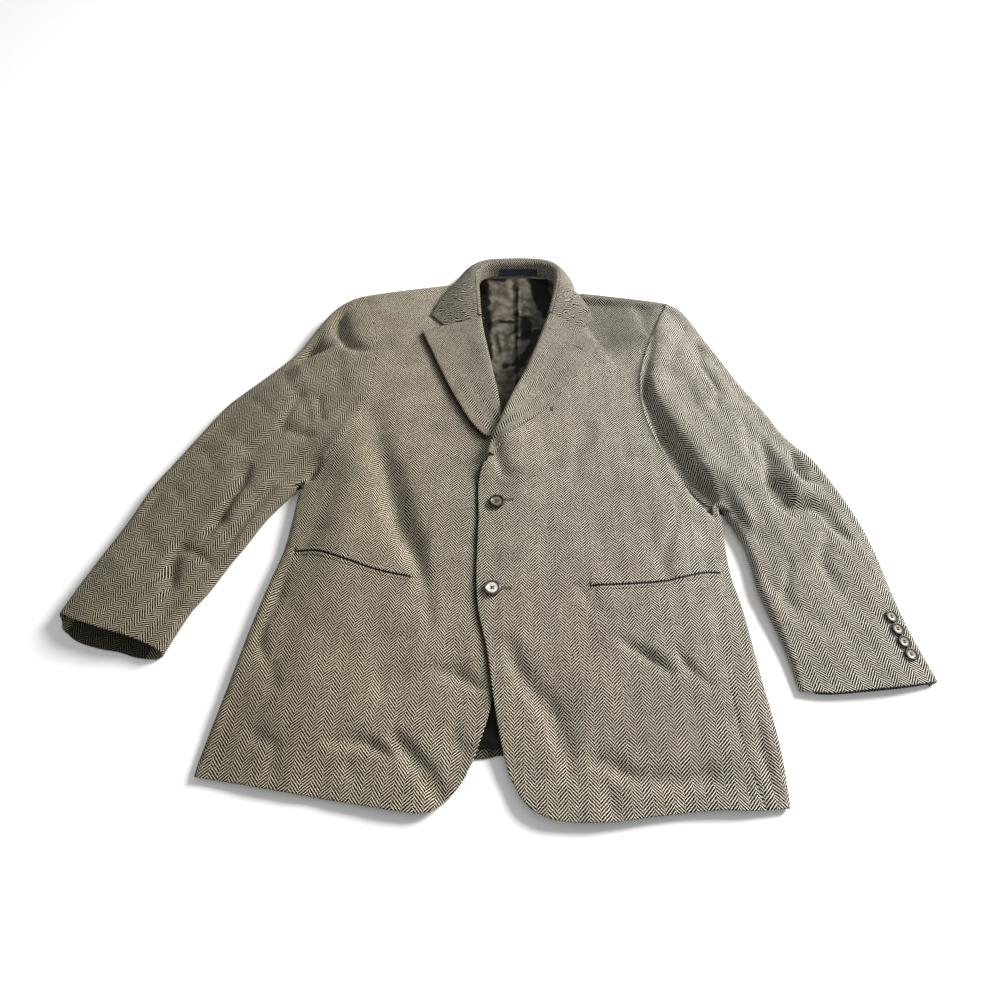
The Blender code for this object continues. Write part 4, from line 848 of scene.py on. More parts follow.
def add_piece(name, points, faces, flat, cloth, deep=None):
    """A mesh from garment points, with its cloth's own coordinates (mm) as a UV map.

    `deep` is painted shadow: how much darker each point is painted, where it lies close under an
    edge."""
    points = np.array(points, float)
    points[:, :2] -= ORIGIN
    mesh = bpy.data.meshes.new(name)
    mesh.from_pydata((points * MM).tolist(), [], np.array(faces).tolist())
    corners = np.empty(len(mesh.loops), np.int32)
    mesh.loops.foreach_get("vertex_index", corners)
    layer = mesh.uv_layers.new(name="cloth")
    layer.data.foreach_set("uv", np.array(flat, np.float32)[corners].ravel())
    if deep is not None:
        mesh.attributes.new("deep", "FLOAT", "POINT").data.foreach_set("value", deep)
    mesh.shade_smooth()
    made = bpy.data.objects.new(name, mesh)
    mesh.materials.append(cloth)
    bpy.context.scene.collection.objects.link(made)
    return made


def within(points, outline):
    x, y = points.T
    inside = np.zeros(len(points), bool)
    for (x0, y0), (x1, y1) in zip(outline, np.roll(outline, -1, axis=0)):
        spans = (y0 > y) != (y1 > y)
        with np.errstate(divide="ignore", invalid="ignore"):
            inside ^= spans & (x < (x1 - x0) * (y - y0) / (y1 - y0) + x0)
    return inside


def lattice(low, high, spacing):
    rows = np.arange(low[1], high[1], spacing * 0.87)
    return np.array([
        (x, y)
        for k, y in enumerate(rows)
        for x in np.arange(low[0] + (k % 2) * spacing / 2, high[0], spacing)
    ])


def inner_points(outline, folds, spacing, extra):
    """Points for a panel's mesh: a lattice, and closer lines along folds and details."""
    found = lattice(outline.min(axis=0), outline.max(axis=0), spacing)
    rolls = [extra] if extra is not None else []
    for fold in folds:
        near = fold.near(found)
        found = found[near[2] > near[3] + 0.45 * spacing]
        for k in range(ROLL_STEPS + 1):
            rolls.append(fold.offset(0, 1 - math.pi * k / ROLL_STEPS)[::2])
    if extra is not None:
        apart = np.concatenate([
            np.linalg.norm(part[:, None] - extra[None], axis=2).min(axis=1)
            for part in np.array_split(found, 1 + len(found) // 1000)
        ])
        found = found[apart > 0.5 * spacing]
    chosen = []
    for group, clear in ((found, 3.6), (np.vstack(rolls) if rolls else found[:0], 2.8)):
        if len(group):
            group = group[within(group, outline)]
            gap = gap_to_outline(group, outline)
            chosen.append(group[gap > clear])
    return np.vstack(chosen)


def laid(points, folds, height, depth):
    """Plan points taken to their place in space, `depth` below the outer surface."""
    place = np.column_stack([points, height - depth])
    for fold in folds:
        foot, inward, distance, radius, _ = fold.near(points)
        beyond = radius - distance
        angle = np.clip(beyond / radius, 0, math.pi)
        ball = radius - depth
        run = radius - ball * np.sin(angle) + np.maximum(beyond - math.pi * radius, 0)
        rolled = beyond > 0
        around = foot + inward * run[:, None]
        place[rolled, :2] = around[rolled]
        place[rolled, 2] = (radius + ball * np.cos(angle))[rolled]
    return place


def smallest_box(outline):
    """Width and length of the smallest rectangle, at any angle, round an outline."""
    sizes = []
    for angle in np.radians(np.arange(0, 90, 3)):
        way = np.array([math.cos(angle), math.sin(angle)])
        spans = [np.ptp(outline @ way), np.ptp(outline @ (-way[1], way[0]))]
        sizes.append(sorted(spans))
    return np.array(min(sizes, key=lambda size: size[0] * size[1]))


def rim_share(gap, wall):
    """How much of the wall's thickness is left this near its edge, for a rounded rim."""
    near = np.clip(gap / (0.6 * wall), 0, 1)
    return np.maximum(np.sqrt(1 - (1 - near) ** 2), 0.14)


def painted_edge_shadow(name, plan):
    """Painted shadow: how much darker a panel is painted close to the edges that lie on it, with
    painted shade on the left front's shoulder.
    """
    x, y = plan.T
    if name == "cloth_front_right":
        lapel = np.column_stack([LAPEL_RIGHT["edge_x"], LAPEL_RIGHT["edge_y"]])
        gap = np.minimum(gap_to(plan, smooth(EDGE_LEFT)), gap_to(plan, lapel))
        return LAPEL_PAINTED_SHADOW[0] * bell(gap, LAPEL_PAINTED_SHADOW[1])
    if name in ("cloth_front_left", "cloth_side_left"):
        gap = gap_to(plan, ARMHOLES["left"])
        low = 1 - ease((y - 560) / 90)
        armhole_painted_shadow = (ARMHOLE_PAINTED_SHADOW[0] * bell(gap, ARMHOLE_PAINTED_SHADOW[1]) * (1 - low)
                  + UNDER_SLEEVE_PAINTED_SHADOW[0] * bell(gap, UNDER_SLEEVE_PAINTED_SHADOW[1]) * low)
        shoulder = SHOULDER_PAINTED_SHADE * ease((y - 590) / 70) * ease((x - 112) / 25)
        return np.maximum(armhole_painted_shadow, shoulder)
    return np.zeros(len(plan))


def panel(name, outline, folds, height, grain, cloth, wall=WALL, spacing=LATTICE, extra=None):
    """A closed wall of cloth over a plan outline, rolled round its folds."""
    outline = shrunk(outline, SEAM_GAP / 2)
    rings = [shrunk(outline, by) for by in RIM_RINGS]
    inside = inner_points(outline, folds, spacing, extra)
    kept = []
    for ring, by in zip(rings, RIM_RINGS):
        ring = ring[within(ring, outline)]
        gap = gap_to_outline(ring, outline)
        kept.append(ring[gap > 0.8 * by])
    every = np.vstack([outline, *kept, inside])
    edges = [(k, (k + 1) % len(outline)) for k in range(len(outline))]
    mesh = delaunay_2d_cdt([Vector(p) for p in every], edges, [], 1, 1e-4)
    plan = np.array([tuple(v) for v in mesh[0]])
    faces = np.array([tuple(face) for face in mesh[2]])
    used = set()
    for face in faces.tolist():
        used.update(zip(face, face[1:] + face[:1]))
    rim = [(a, b) for a, b in used if (b, a) not in used]
    gap = gap_to_outline(plan, outline)
    pinch = (1 - rim_share(gap, wall)) * wall / 2
    sewn = np.min([gap_to(plan, line) for line in HIDDEN_SEAMS], axis=0)
    pinch *= 0.25 + 0.75 * ease((sewn - 0.6) / 1.5)
    top = height(plan)
    outer = laid(plan, folds, top, pinch)
    inner = laid(plan, folds, top, wall - pinch)
    count = len(plan)
    closed = faces.tolist() + (faces[:, ::-1] + count).tolist()
    closed += [[b, a, a + count] for a, b in rim] + [[b, a + count, b + count] for a, b in rim]
    flat = grain(plan)
    # Painted shadow beside the edges that lie on this panel, kept as the mesh attribute deep.
    deep = np.tile(painted_edge_shadow(name, plan), 2)
    made = add_piece(name, np.vstack([outer, inner]), closed, np.vstack([flat, flat]), cloth, deep)
    PIECES[name] = (made, smallest_box(outline) * MM, abs(signed_area(outline)) * MM * MM)


def grid_wall(name, outer, inner, cloth, flat=None, sewn=(False, False)):
    """A closed wall between two grids of points, rows by columns, its rims rounded.

    The first or last row can be sewn to another piece, and then isn't rounded."""
    rows, columns = outer.shape[:2]
    middle = (outer + inner) / 2
    wall = np.linalg.norm(outer - inner, axis=2).mean()
    run = np.zeros((rows, columns))
    rise = np.zeros((rows, columns))
    run[:, 1:] = np.cumsum(np.linalg.norm(np.diff(middle, axis=1), axis=2), axis=1)
    rise[1:] = np.cumsum(np.linalg.norm(np.diff(middle, axis=0), axis=2), axis=0)
    first, last = rise + FAR * sewn[0], rise[-1:] - rise + FAR * sewn[1]
    gap = np.minimum(np.minimum(run, run[:, -1:] - run), np.minimum(first, last))
    left = rim_share(gap, wall)[..., None]
    outer, inner = middle + (outer - middle) * left, middle + (inner - middle) * left
    index = np.arange(rows * columns).reshape(rows, columns)
    quads = np.stack([index[:-1, :-1], index[1:, :-1], index[1:, 1:], index[:-1, 1:]], axis=-1)
    quads = quads.reshape(-1, 4)
    count = rows * columns
    loop = np.concatenate([index[0], index[1:, -1], index[-1, -2::-1], index[-2:0:-1, 0]])
    after = np.roll(loop, -1)
    rim = np.column_stack([loop, after, after + count, loop + count])
    closed = np.vstack([quads, quads[:, ::-1] + count, rim])
    points = np.vstack([outer.reshape(-1, 3), inner.reshape(-1, 3)])
    a, b, c, d = points[closed].transpose(1, 0, 2)
    volume = (a * np.cross(b, c)).sum() + (a * np.cross(c, d)).sum()
    if volume < 0:
        closed = closed[:, ::-1]
    if flat is None:
        flat = np.stack([run, rise], axis=-1)
    flat = flat.reshape(-1, 2)
    made = add_piece(name, points, closed, np.vstack([flat, flat]), cloth)
    size = np.array([run[:, -1].max(), rise[-1].max()]) * MM
    area = run[:, -1].mean() * rise[-1].mean() * MM * MM
    PIECES[name] = (made, size, min(area, size[0] * size[1]))
    return made


def spaced(length, step, rim=(0.0, 0.25, 0.7, 1.5)):
    """Places along a length: close together at both ends, `step` apart between them."""
    count = max(2, round((length - 2 * rim[-1]) / step))
    middle = np.linspace(rim[-1], length - rim[-1], count + 1)
    return np.concatenate([rim[:-1], middle, length - np.array(rim[:-1])[::-1]])


# ---------------------------------------------------------------- panels
def grain_body(side, slip=(0.0, 0.0)):
    """Where the weave lies on a body panel, as a function of points in plan."""
    turn = GRAIN_RIGHT if side == "right" else 0.0
    shift = GRAIN_SHIFT[side]

    def grain(points):
        x, y = points.T
        u = x * math.cos(turn) - y * math.sin(turn)
        v = x * math.sin(turn) + y * math.cos(turn)
        return np.column_stack([u, v]) + shift + np.outer(low_down(y), slip)
    return grain


def grain_sleeve(side):
    """Where the weave lies on a sleeve, as a function of points in plan."""
    def grain(points):
        _, _, distance, _, length = AXES[side].near(points)
        lean = GRAIN_LEAN[side]
        return np.column_stack([
            distance * math.cos(lean) + length * math.sin(lean),
            distance * math.sin(lean) - length * math.cos(lean),
        ])
    return grain


def beside(line, offsets):
    """Points at set distances to both sides of a line."""
    normal = to_left(directions(line))
    return np.vstack([line + normal * far for far in offsets])


def make_body(side, cloth, inside):
    """One side of the body: side panel, front and back."""
    near = LAYOUTS[side]
    fold, upper = SIDES[side], UPPERS[side]
    seam, hem, edge = (smooth(near[key]) for key in ("seam", "hem", "edge"))
    hem_and_edge = np.vstack([hem[::-1], edge[1:]])
    armhole = ARMHOLES[side]
    under_arm = np.vstack([armhole[::-1], across(fold, len(fold.line) - 2, OUTWARDS)])
    shoulder = place_near(upper, armhole[-1])
    over_shoulder = np.vstack([armhole, across(upper, shoulder, OUTWARDS, -SEAM_LEAN)])
    mouth = beside(MOUTHS[side], POCKET_LINES)
    panel(
        f"cloth_side_{side}", closed_outline([seam, hem, fold.far_edge(), under_arm]), [fold],
        body_surface(side, False), grain_body(side, SIDE_SLIP[side]), cloth, extra=mouth,
    )
    panel(
        f"cloth_front_{side}",
        closed_outline([hem_and_edge, upper.far_edge(40.0), over_shoulder, seam]), [upper],
        body_surface(side, True), grain_body(side), cloth, extra=mouth,
    )
    outline = closed_outline([
        smooth(CENTRE_BACK), smooth(HEM_BACK), fold.under_edge(40.0), armhole,
        upper.under_edge(), smooth(NECK_BACK),
    ])
    panel(
        f"cloth_back_{side}", outline, [], flat_on_floor, grain_body(side), inside,
        spacing=HIDDEN_LATTICE,
    )


def flat_on_floor(points):
    return np.full(len(points), WALL)


def make_sleeve(side, cloth, inside):
    """Top sleeve, rolled round both of its folds, and the under sleeve below it."""
    near = LAYOUTS[side]
    inner, upper, armhole = INNERS[side], UPPERS[side], ARMHOLES[side]
    head = across(upper, place_near(upper, armhole[-1]), OUTWARDS, SEAM_LEAN)[::-1]
    seam = np.vstack([head, armhole[::-1], across(inner, 1, OUTWARDS)])
    outline = closed_outline([
        seam, inner.far_edge(12.0), smooth(near["cuff"]), upper.far_edge(12.0),
    ])
    panel(
        f"cloth_sleeve_{side}", outline, [inner, upper],
        lambda points: cloth_top(points, side) - seam_dip(points, side),
        grain_sleeve(side), cloth,
    )
    under_seam = np.vstack([armhole[::-1], across(inner, 1, INWARDS)])
    outline = closed_outline([
        under_seam, inner.under_edge(), smooth(near["under_cuff"]), upper.under_edge(),
    ])
    panel(
        f"cloth_under_sleeve_{side}", outline, [], flat_on_floor, grain_sleeve(side), inside,
        spacing=HIDDEN_LATTICE,
    )


def make_gusset(side, cloth):
    """The rolled edge at the armpit, where the body's fold turns into the sleeve's."""
    body, arm = SIDES[side], INNERS[side]
    turn = []
    for x, y in (body.inwards[-1], arm.inwards[0]):
        turn.append((math.degrees(math.atan2(y, x)) + 90) % 360 - 90)
    fan = np.radians(np.interp(np.linspace(0, 1, 19), [0, 0.5, 1], [turn[0], 90, turn[1]]))
    ways = [*body.inwards[-4:-1], *np.column_stack([np.cos(fan), np.sin(fan)]), *arm.inwards[1:4]]
    feet = [*body.line[-4:-1], *[arm.line[0]] * len(fan), *arm.line[1:4]]
    grids = []
    for depth in (WALL + 0.3, WALL + 1.1):
        grid = []
        for foot, way in zip(feet, ways):
            radius = arm.radii[0]
            ball = radius - depth
            angle = np.linspace(0, math.pi, 16)
            run = np.concatenate([[radius + 5, radius + 2.5], radius - ball * np.sin(angle)])
            up = np.concatenate([[radius + ball] * 2, radius + ball * np.cos(angle)])
            grid.append(np.column_stack([foot + way * run[:, None], up]))
        grids.append(np.array(grid))
    flat = np.array([grain_sleeve(side)(row[:, :2]) for row in grids[0]])
    name = f"cloth_gusset_{side}"
    GOES_WITH[f"cloth_sleeve_{side}"] = [grid_wall(name, *grids, cloth, flat)]
    del PIECES[name]


# ---------------------------------------------------------------- lapels and collar
def finer(line, step):
    """A smooth table's rows at `step` apart, closer together at both ends."""
    lengths = lengths_to(line[:, :2])
    at = spaced(lengths[-1], step)
    return np.column_stack([np.interp(at, lengths, column) for column in line.T]), at, lengths[-1]


def section(centre, thickness):
    """Both faces of a wall whose middle runs, level at first, through (out, up) points."""
    run = np.gradient(centre, axis=0)
    run[0, 1] = 0.0
    normal = to_left(unit(run))
    return centre + normal * thickness / 2, centre - normal * thickness / 2


def bent(plan, start, end, corner, run, width, share):
    """A section of a lapel or a collar near the gorge, led through the notch's corner."""
    place = np.clip(run / width, 0, 1)
    reach = np.clip(np.dot(corner - start, end - start) / width ** 2, 0.05, 0.95)
    push = corner - (start + (end - start) * reach)
    weight = np.where(place < reach, place / reach, (1 - place) / (1 - reach))
    return plan + push * (weight * share)[:, None]


def lapel_lift(run, width, radius, proud):
    """How far a lapel's underside is off its front: at its roll, and along its edge."""
    slack = 2 * radius - (2 * LAPEL_WALL + 2 * LAPEL_GAP + WALL)
    settle = slack * (1 - ease((run - radius) / 30))
    return settle + proud * ease((run - width + 34) / 34)


def make_lapel(side, rows, notch, proud, cloth):
    """A lapel laid on its front, rolled at the inner edge and turned under as facing."""
    line, at, length = finer(smooth(rows, 5.0, LAPEL_COLUMNS), 5.0)
    walls = {0.0: [], LAPEL_WALL: []}
    flat = []
    for (x, y, edge_x, edge_y, radius), here in zip(line, at):
        start, end = np.array([x, y]), np.array([edge_x, edge_y])
        width = np.linalg.norm(end - start)
        out = (end - start) / width
        turned = min(LAPEL_FLANGE, width * 0.8)
        tip = width - np.array([1.5, 0.7, 0.25, 0.0])
        level = np.concatenate([np.linspace(radius, tip[0], 26)[1:], tip[1:]])
        for depth, grid in walls.items():
            ball = radius - depth
            back = turned - np.array([0.0, 0.25, 0.7, 1.5, 4.0, 7.0])
            places = [(run, -ball) for run in back]
            for angle in np.radians(np.linspace(-90, 90, 15)):
                places.append((radius - ball * math.cos(angle), ball * math.sin(angle)))
            places += [(run, ball) for run in level]
            run, up = np.array(places).T
            plan = start + out * run[:, None]
            near_gorge = max(0.0, 1 - (length - here) / 16)
            plan = bent(plan, start, end, np.array(notch, float), run, width, near_gorge)
            base = front_top(plan, side)
            over = base + LAPEL_GAP + LAPEL_WALL - depth + lapel_lift(run, width, radius, proud)
            around = base - WALL - LAPEL_GAP - LAPEL_WALL + radius + up
            height = np.where((up > 0) & (run > radius - 0.01), over, around)
            grid.append(np.column_stack([plan, height]))
        reach = lengths_to(walls[0.0][-1])
        flat.append(np.column_stack([reach - reach[-1], np.full(len(reach), here * 1.1)]))
    grid_wall(
        f"cloth_lapel_{side}", np.array(walls[0.0]), np.array(walls[LAPEL_WALL]), cloth,
        np.array(flat), sewn=(False, True),
    )


def bezier(points, t):
    t = np.asarray(t)[:, None]
    a, b, c, d = (np.array(p, float) for p in points)
    return (1 - t) ** 3 * a + 3 * t * (1 - t) ** 2 * b + 3 * t * t * (1 - t) * c + t ** 3 * d


def evenly(path, step):
    """A path's points at even lengths, closer together at its ends."""
    lengths = lengths_to(path)
    at = spaced(1.0, step / lengths[-1], np.array([0.0, 0.25, 0.7, 1.5]) / lengths[-1])
    return np.column_stack([np.interp(at * lengths[-1], lengths, column) for column in path.T])


def body_below(plan):
    """The top of the front panels where they lie under the collar, else nothing."""
    shoulder = np.full(len(plan), False)
    for side, fold in UPPERS.items():
        beside_neck = plan[:, 0] > 80 if side == "left" else plan[:, 0] < -30
        shoulder |= (fold.near(plan)[2] > -1.0) & beside_neck
    return np.where(shoulder, cloth_top(plan), 0.0)


def stand_path(row, t):
    """The fold's place, the way out from it, and the stand's section down from its crest."""
    fx, fy, top, lx, ly, _, bx, by, bz = row
    fold, leaf, base = np.array([fx, fy]), np.array([lx, ly]), np.array([bx, by])
    out = (leaf - fold) / np.linalg.norm(leaf - fold)
    crest = top - LAPEL_WALL / 2
    tuck = np.dot(base - fold, out)
    return fold, out, bezier(
        [(COLLAR_ROLL - SEAM_GAP / 2, crest), (-1.5, crest - 0.5),
         (-1.0, 0.5 * crest + 0.5 * bz), (tuck, bz)], t)


def lengths_on(grid):
    """Lengths over a grid of points, from its middle row and from its first column."""
    flat = np.zeros((*grid.shape[:2], 2))
    flat[1:, :, 0] = np.cumsum(np.linalg.norm(np.diff(grid, axis=0), axis=2), axis=0)
    flat[:, 1:, 1] = np.cumsum(np.linalg.norm(np.diff(grid, axis=1), axis=2), axis=1)
    flat[..., 0] -= flat[len(grid) // 2, :, 0]
    return flat


def make_collar(cloth, navy):
    """Collar fall and stand: an upturned U that follows the neckline."""
    names = ("fold_x", "fold_y", "top", "leaf_x", "leaf_y", "leaf_z", "base_x", "base_y", "base_z")
    rows, at, length = finer(smooth(COLLAR, 4.0, names), 4.0)
    leaf_outer, leaf_inner, stand_outer, stand_inner, along_stand = [], [], [], [], []
    fine = np.linspace(0, 1, 61)
    height = -np.linspace(0, 32, STAND_ROWS)
    for row, here in zip(rows, at):
        fold, out, drop = stand_path(row, fine)
        leaf, leaf_z = row[3:5], row[5]
        width = np.linalg.norm(leaf - fold)
        crest = row[2] - LAPEL_WALL / 2
        fall = evenly(bezier(
            [(COLLAR_ROLL + SEAM_GAP / 2, crest), (0.45 * width, crest + 0.5),
             (0.85 * width, 0.4 * crest + 0.6 * leaf_z), (width, leaf_z)], fine), 3.0)
        fall = fall[np.linspace(0, len(fall) - 1, LEAF_ROWS).round().astype(int)]
        above, below = section(fall, LAPEL_WALL)
        ends = (here / 18, NOTCH_RIGHT), ((length - here) / 18, NOTCH_LEFT)
        for face, store in ((above, leaf_outer), (below, leaf_inner)):
            plan = fold + out * face[:, :1]
            for share, notch in ends:
                corner = np.array(notch, float) + NOTCH_GAP * np.array([0.4, 1.0])
                plan = bent(plan, fold, leaf, corner, face[:, 0], width, max(0.0, 1 - share))
            floor = body_below(plan) + LAY_GAP
            settle = LEAF_SETTLE * max(0.0, 1 - min(ends[0][0], ends[1][0]))
            lift = np.maximum(floor + LAPEL_WALL - above[:, 1], -settle)
            store.append(np.column_stack([plan, face[:, 1] + lift]))
        drop = evenly(drop, 2.0)
        drop = drop[np.linspace(0, len(drop) - 1, STAND_ROWS).round().astype(int)]
        outside, inside = section(drop, LAPEL_WALL)
        for face, store in ((outside, stand_outer), (inside, stand_inner)):
            store.append(np.column_stack([fold + out * face[:, :1], face[:, 1]]))
        along_stand.append(np.column_stack([np.full(STAND_ROWS, here), height]))
    leaf_outer = np.array(leaf_outer)
    grid_wall(
        "cloth_collar_leaf", leaf_outer, np.array(leaf_inner), cloth, lengths_on(leaf_outer),
        sewn=(True, True),
    )
    grid_wall(
        "cloth_collar_stand", np.array(stand_outer), np.array(stand_inner), cloth,
        np.array(along_stand),
    )
    make_label(rows, navy)


def make_label(rows, navy):
    """A bare woven label on the side of the stand that faces the neck opening."""
    t = np.linspace(*LABEL_SHARES, 12)
    near_back = rows[rows[:, 1] > 800]
    near_back = near_back[np.argsort(near_back[:, 0])]
    faces = []
    for lift in (LAPEL_WALL / 2 + 0.75, LAPEL_WALL / 2 + 0.25):
        grid = []
        for row in near_back:
            fold, out, drop = stand_path(row, t)
            face = drop - to_left(directions(drop)) * lift
            grid.append(np.column_stack([fold + out * face[:, :1], face[:, 1]]))
        grid = np.array(grid)
        xs = spaced(LABEL_SPAN[1] - LABEL_SPAN[0], 2.0) + LABEL_SPAN[0]
        faces.append(np.array([
            [[np.interp(x, grid[:, c, 0], grid[:, c, axis]) for axis in range(3)]
             for c in range(len(t))] for x in xs
        ]))
    grid_wall("cloth_label", faces[0], faces[1], navy)


# ---------------------------------------------------------------- linings
def lining(name, plans, rises, satin):
    """A lining lying on the back or under panel, from rows of plan points and heights."""
    lower = np.array([
        np.column_stack([plan, WALL + np.maximum(LAY_GAP + rise, 0.25)])
        for plan, rise in zip(plans, rises)
    ])
    wall = 0.8 * LINING_WALL
    flat = np.array(plans)
    grid_wall(name, lower + (0, 0, wall), lower, satin, flat)


def make_neck_lining(satin):
    """Back lining inside the neck opening, with its centre pleat and creases."""
    count = 96
    share = np.linspace(-1, 1, count)
    plans, rises = [], []
    for y in np.linspace(*NECK_LINING, 170):
        ends = []
        for edge, tuck in ((EDGE_RIGHT, -NECK_TUCK), (EDGE_LEFT, NECK_TUCK)):
            at = np.interp(y, edge["y"][ABOVE_BREAK:], edge["x"][ABOVE_BREAK:]) + tuck
            ends.append(at - math.copysign(NECK_DRAW_IN, tuck) * ease((y - 725) / 40))
        plan = np.column_stack([np.linspace(*ends, count), np.full(count, y)])
        up_the_fronts = 5.0 * (1 - ease((y - 740) / 60)) * share ** 2
        up_the_stand = 5.2 * ease((y - 780) / 40) * (1 - 0.4 * share ** 2)
        pleat = 1.6 * bell(share - 0.1, 0.18)
        folds = 1.2 - crease_depth(plan, NECK_CREASES) + 0.5 * noise(plan, 16.0, 5)
        settle = 1 - ease((np.abs(share) - 0.75) / 0.2)
        plans.append(plan)
        rises.append(up_the_fronts + up_the_stand + pleat + folds * settle)
    lining("cloth_lining_neck", plans, rises, satin)


def make_hem_lining(satin):
    """Back lining seen between the rounded corners of the two fronts."""
    xs = np.linspace(*HEM_LINING_X, 72)
    plans, rises = [], []
    for y in np.linspace(*HEM_LINING_Y, 60):
        plan = np.column_stack([xs, np.full(len(xs), y)])
        plans.append(plan)
        wave = 0.8 * np.cos((xs + 12) / 11) ** 2 + 0.5 * noise(plan, 14.0, 7)
        rises.append(wave * ease((y - HEM_LINING_Y[0]) / 20))
    lining("cloth_lining_hem", plans, rises, satin)


def make_cuff_lining(satin):
    """Sleeve lining inside the open right cuff, from the end of its facing inwards."""
    start, end = np.array(CUFF_LINING_ENDS)
    run = (end - start) / np.linalg.norm(end - start)
    up_sleeve = np.array([-run[1], run[0]]) + run * SLEEVE_SLANT
    share = np.linspace(0, 1, 60)
    plans, rises = [], []
    for far in np.linspace(CUFF_FACING, CUFF_FACING + CUFF_LINING_LENGTH, 36):
        plan = start + (end - start) * share[:, None] + up_sleeve * far
        plans.append(plan)
        rises.append(2.5 * (2 * share - 1) ** 2 + 0.6 * noise(plan, 13.0, 9))
    lining("cloth_lining_cuff", plans, rises, satin)


# ---------------------------------------------------------------- pockets and stitching
def mouth_strip(side, up, outs, top, under):
    """Both faces of a strip along a pocket's mouth, at heights off the front's cloth."""
    outer, inner = [], []
    for out in outs:
        plan = MOUTHS[side] + up * out
        height = front_top(plan, side)
        outer.append(np.column_stack([plan, height + top(out)]))
        inner.append(np.column_stack([plan, height + under]))
    return [np.array(face).transpose(1, 0, 2) for face in (outer, inner)]


def make_pocket(side, cloth, satin):
    """The two jets that edge a pocket's mouth, and the dark lining between them."""
    up = to_left(directions(MOUTHS[side]))
    up *= np.sign(up[:, 1:])
    outs = JET_SLIT / 2 + np.array([0.0, 0.2, 0.5, 1.0, 2.0, 3.0, 3.6, 4.1, 4.4, JET_WIDTH])

    def rounded(out):
        return JET_LIFT + 0.35 * math.sin(math.pi * (abs(out) - JET_SLIT / 2) / JET_WIDTH)

    for which, sign in (("upper", 1), ("lower", -1)):
        outer, inner = mouth_strip(side, up, sign * outs, rounded, JET_LIFT - JET_WALL)
        flat = np.array([grain_body(side)(row[:, :2]) for row in outer])
        grid_wall(f"cloth_pocket_{side}_{which}", outer, inner, cloth, flat)
    name = f"cloth_pocket_{side}_lining"
    faces = mouth_strip(side, up, (-2.0, 0.0, 2.0), lambda out: -0.95, -1.25)
    GOES_WITH[f"cloth_pocket_{side}_upper"] = [grid_wall(name, *faces, satin)]
    del PIECES[name]


def tube(path, radius, sides=6):
    """Points and faces of a closed thread along a path, thinner at its two ends."""
    path = np.array(path, float)
    tangent = directions(path)
    aside = unit(np.cross(tangent, (0.3, 0.2, 0.93)))
    other = np.cross(aside, tangent)
    points = []
    for k, place in enumerate(path):
        size = radius * (0.45 if k in (0, len(path) - 1) else 1.0)
        for angle in np.arange(sides) * 2 * math.pi / sides:
            points.append(place + size * (aside[k] * math.cos(angle) + other[k] * math.sin(angle)))
    faces = []
    for k in range(len(path) - 1):
        for s in range(sides):
            a, b = k * sides + s, k * sides + (s + 1) % sides
            faces += [[a, b, b + sides], [a, b + sides, a + sides]]
    last = (len(path) - 1) * sides
    for s in range(1, sides - 1):
        faces += [[0, s + 1, s], [last, last + s, last + s + 1]]
    return points, faces


def threads(name, paths, radius, colour):
    """One mesh of many short threads."""
    points, faces = [], []
    for path in paths:
        more, around = tube(path, radius)
        faces += [[i + len(points) for i in face] for face in around]
        points += more
    LOOSE.append(add_piece(name, points, faces, np.array(points)[:, :2], colour))


def buttonhole(name, start, end, eye, surface, colour, reach=1.5, pitch=0.62):
    """Worked edges of a buttonhole: short threads square to its slit, and round its eye."""
    start, end = np.array(start, float), np.array(end, float)
    length = np.linalg.norm(end - start)
    run = (end - start) / length
    side = np.array([-run[1], run[0]])
    ring = []
    for sign in (1, -1):
        for far in np.arange(eye * 0.8, length, pitch):
            ring.append((start + run * far + side * sign * 0.35, side * sign))
    for angle in np.arange(-2.3, 2.31, pitch / max(eye + 0.4, 0.8)):
        out = -run * math.cos(angle) + side * math.sin(angle)
        if eye:
            ring.append((start + out * eye, out))
    paths = []
    for k, (foot, out) in enumerate(ring):
        far = reach * (0.92 + 0.16 * math.sin(7.3 * k))
        plan = np.array([foot + out * far * s for s in (0.0, 0.35, 0.7, 1.0)])
        rise = np.array([0.1, 0.42, 0.4, 0.05])
        paths.append(np.column_stack([plan, surface(plan) + rise]))
    threads(name, paths, THREAD_RADIUS, colour)


# ---------------------------------------------------------------- buttons
def turned(profile, segments):
    """Points and faces of a solid of revolution from (radius, height) pairs."""
    points, faces = [(0, 0, profile[0][1])], []
    for radius, height in profile:
        for k in range(segments):
            angle = 2 * math.pi * k / segments
            points.append((radius * math.cos(angle), radius * math.sin(angle), height))
    points.append((0, 0, profile[-1][1]))
    top = 1 + (len(profile) - 1) * segments
    for k in range(segments):
        after = (k + 1) % segments
        faces += [(0, 1 + after, 1 + k), (len(points) - 1, top + k, top + after)]
        for ring in range(len(profile) - 1):
            a = 1 + ring * segments
            faces.append((a + k, a + after, a + segments + after, a + segments + k))
    return points, faces


# Half of a button's section, in shares of its radius and of its thickness.
BUTTON_PROFILE = (
    (0.70, 0.0), (0.86, 0.08), (0.95, 0.28), (0.995, 0.5), (0.985, 0.72), (0.94, 0.9),
    (0.88, 0.985), (0.82, 1.0), (0.76, 0.965), (0.70, 0.86), (0.64, 0.74), (0.56, 0.67),
    (0.40, 0.64), (0.20, 0.63),
)


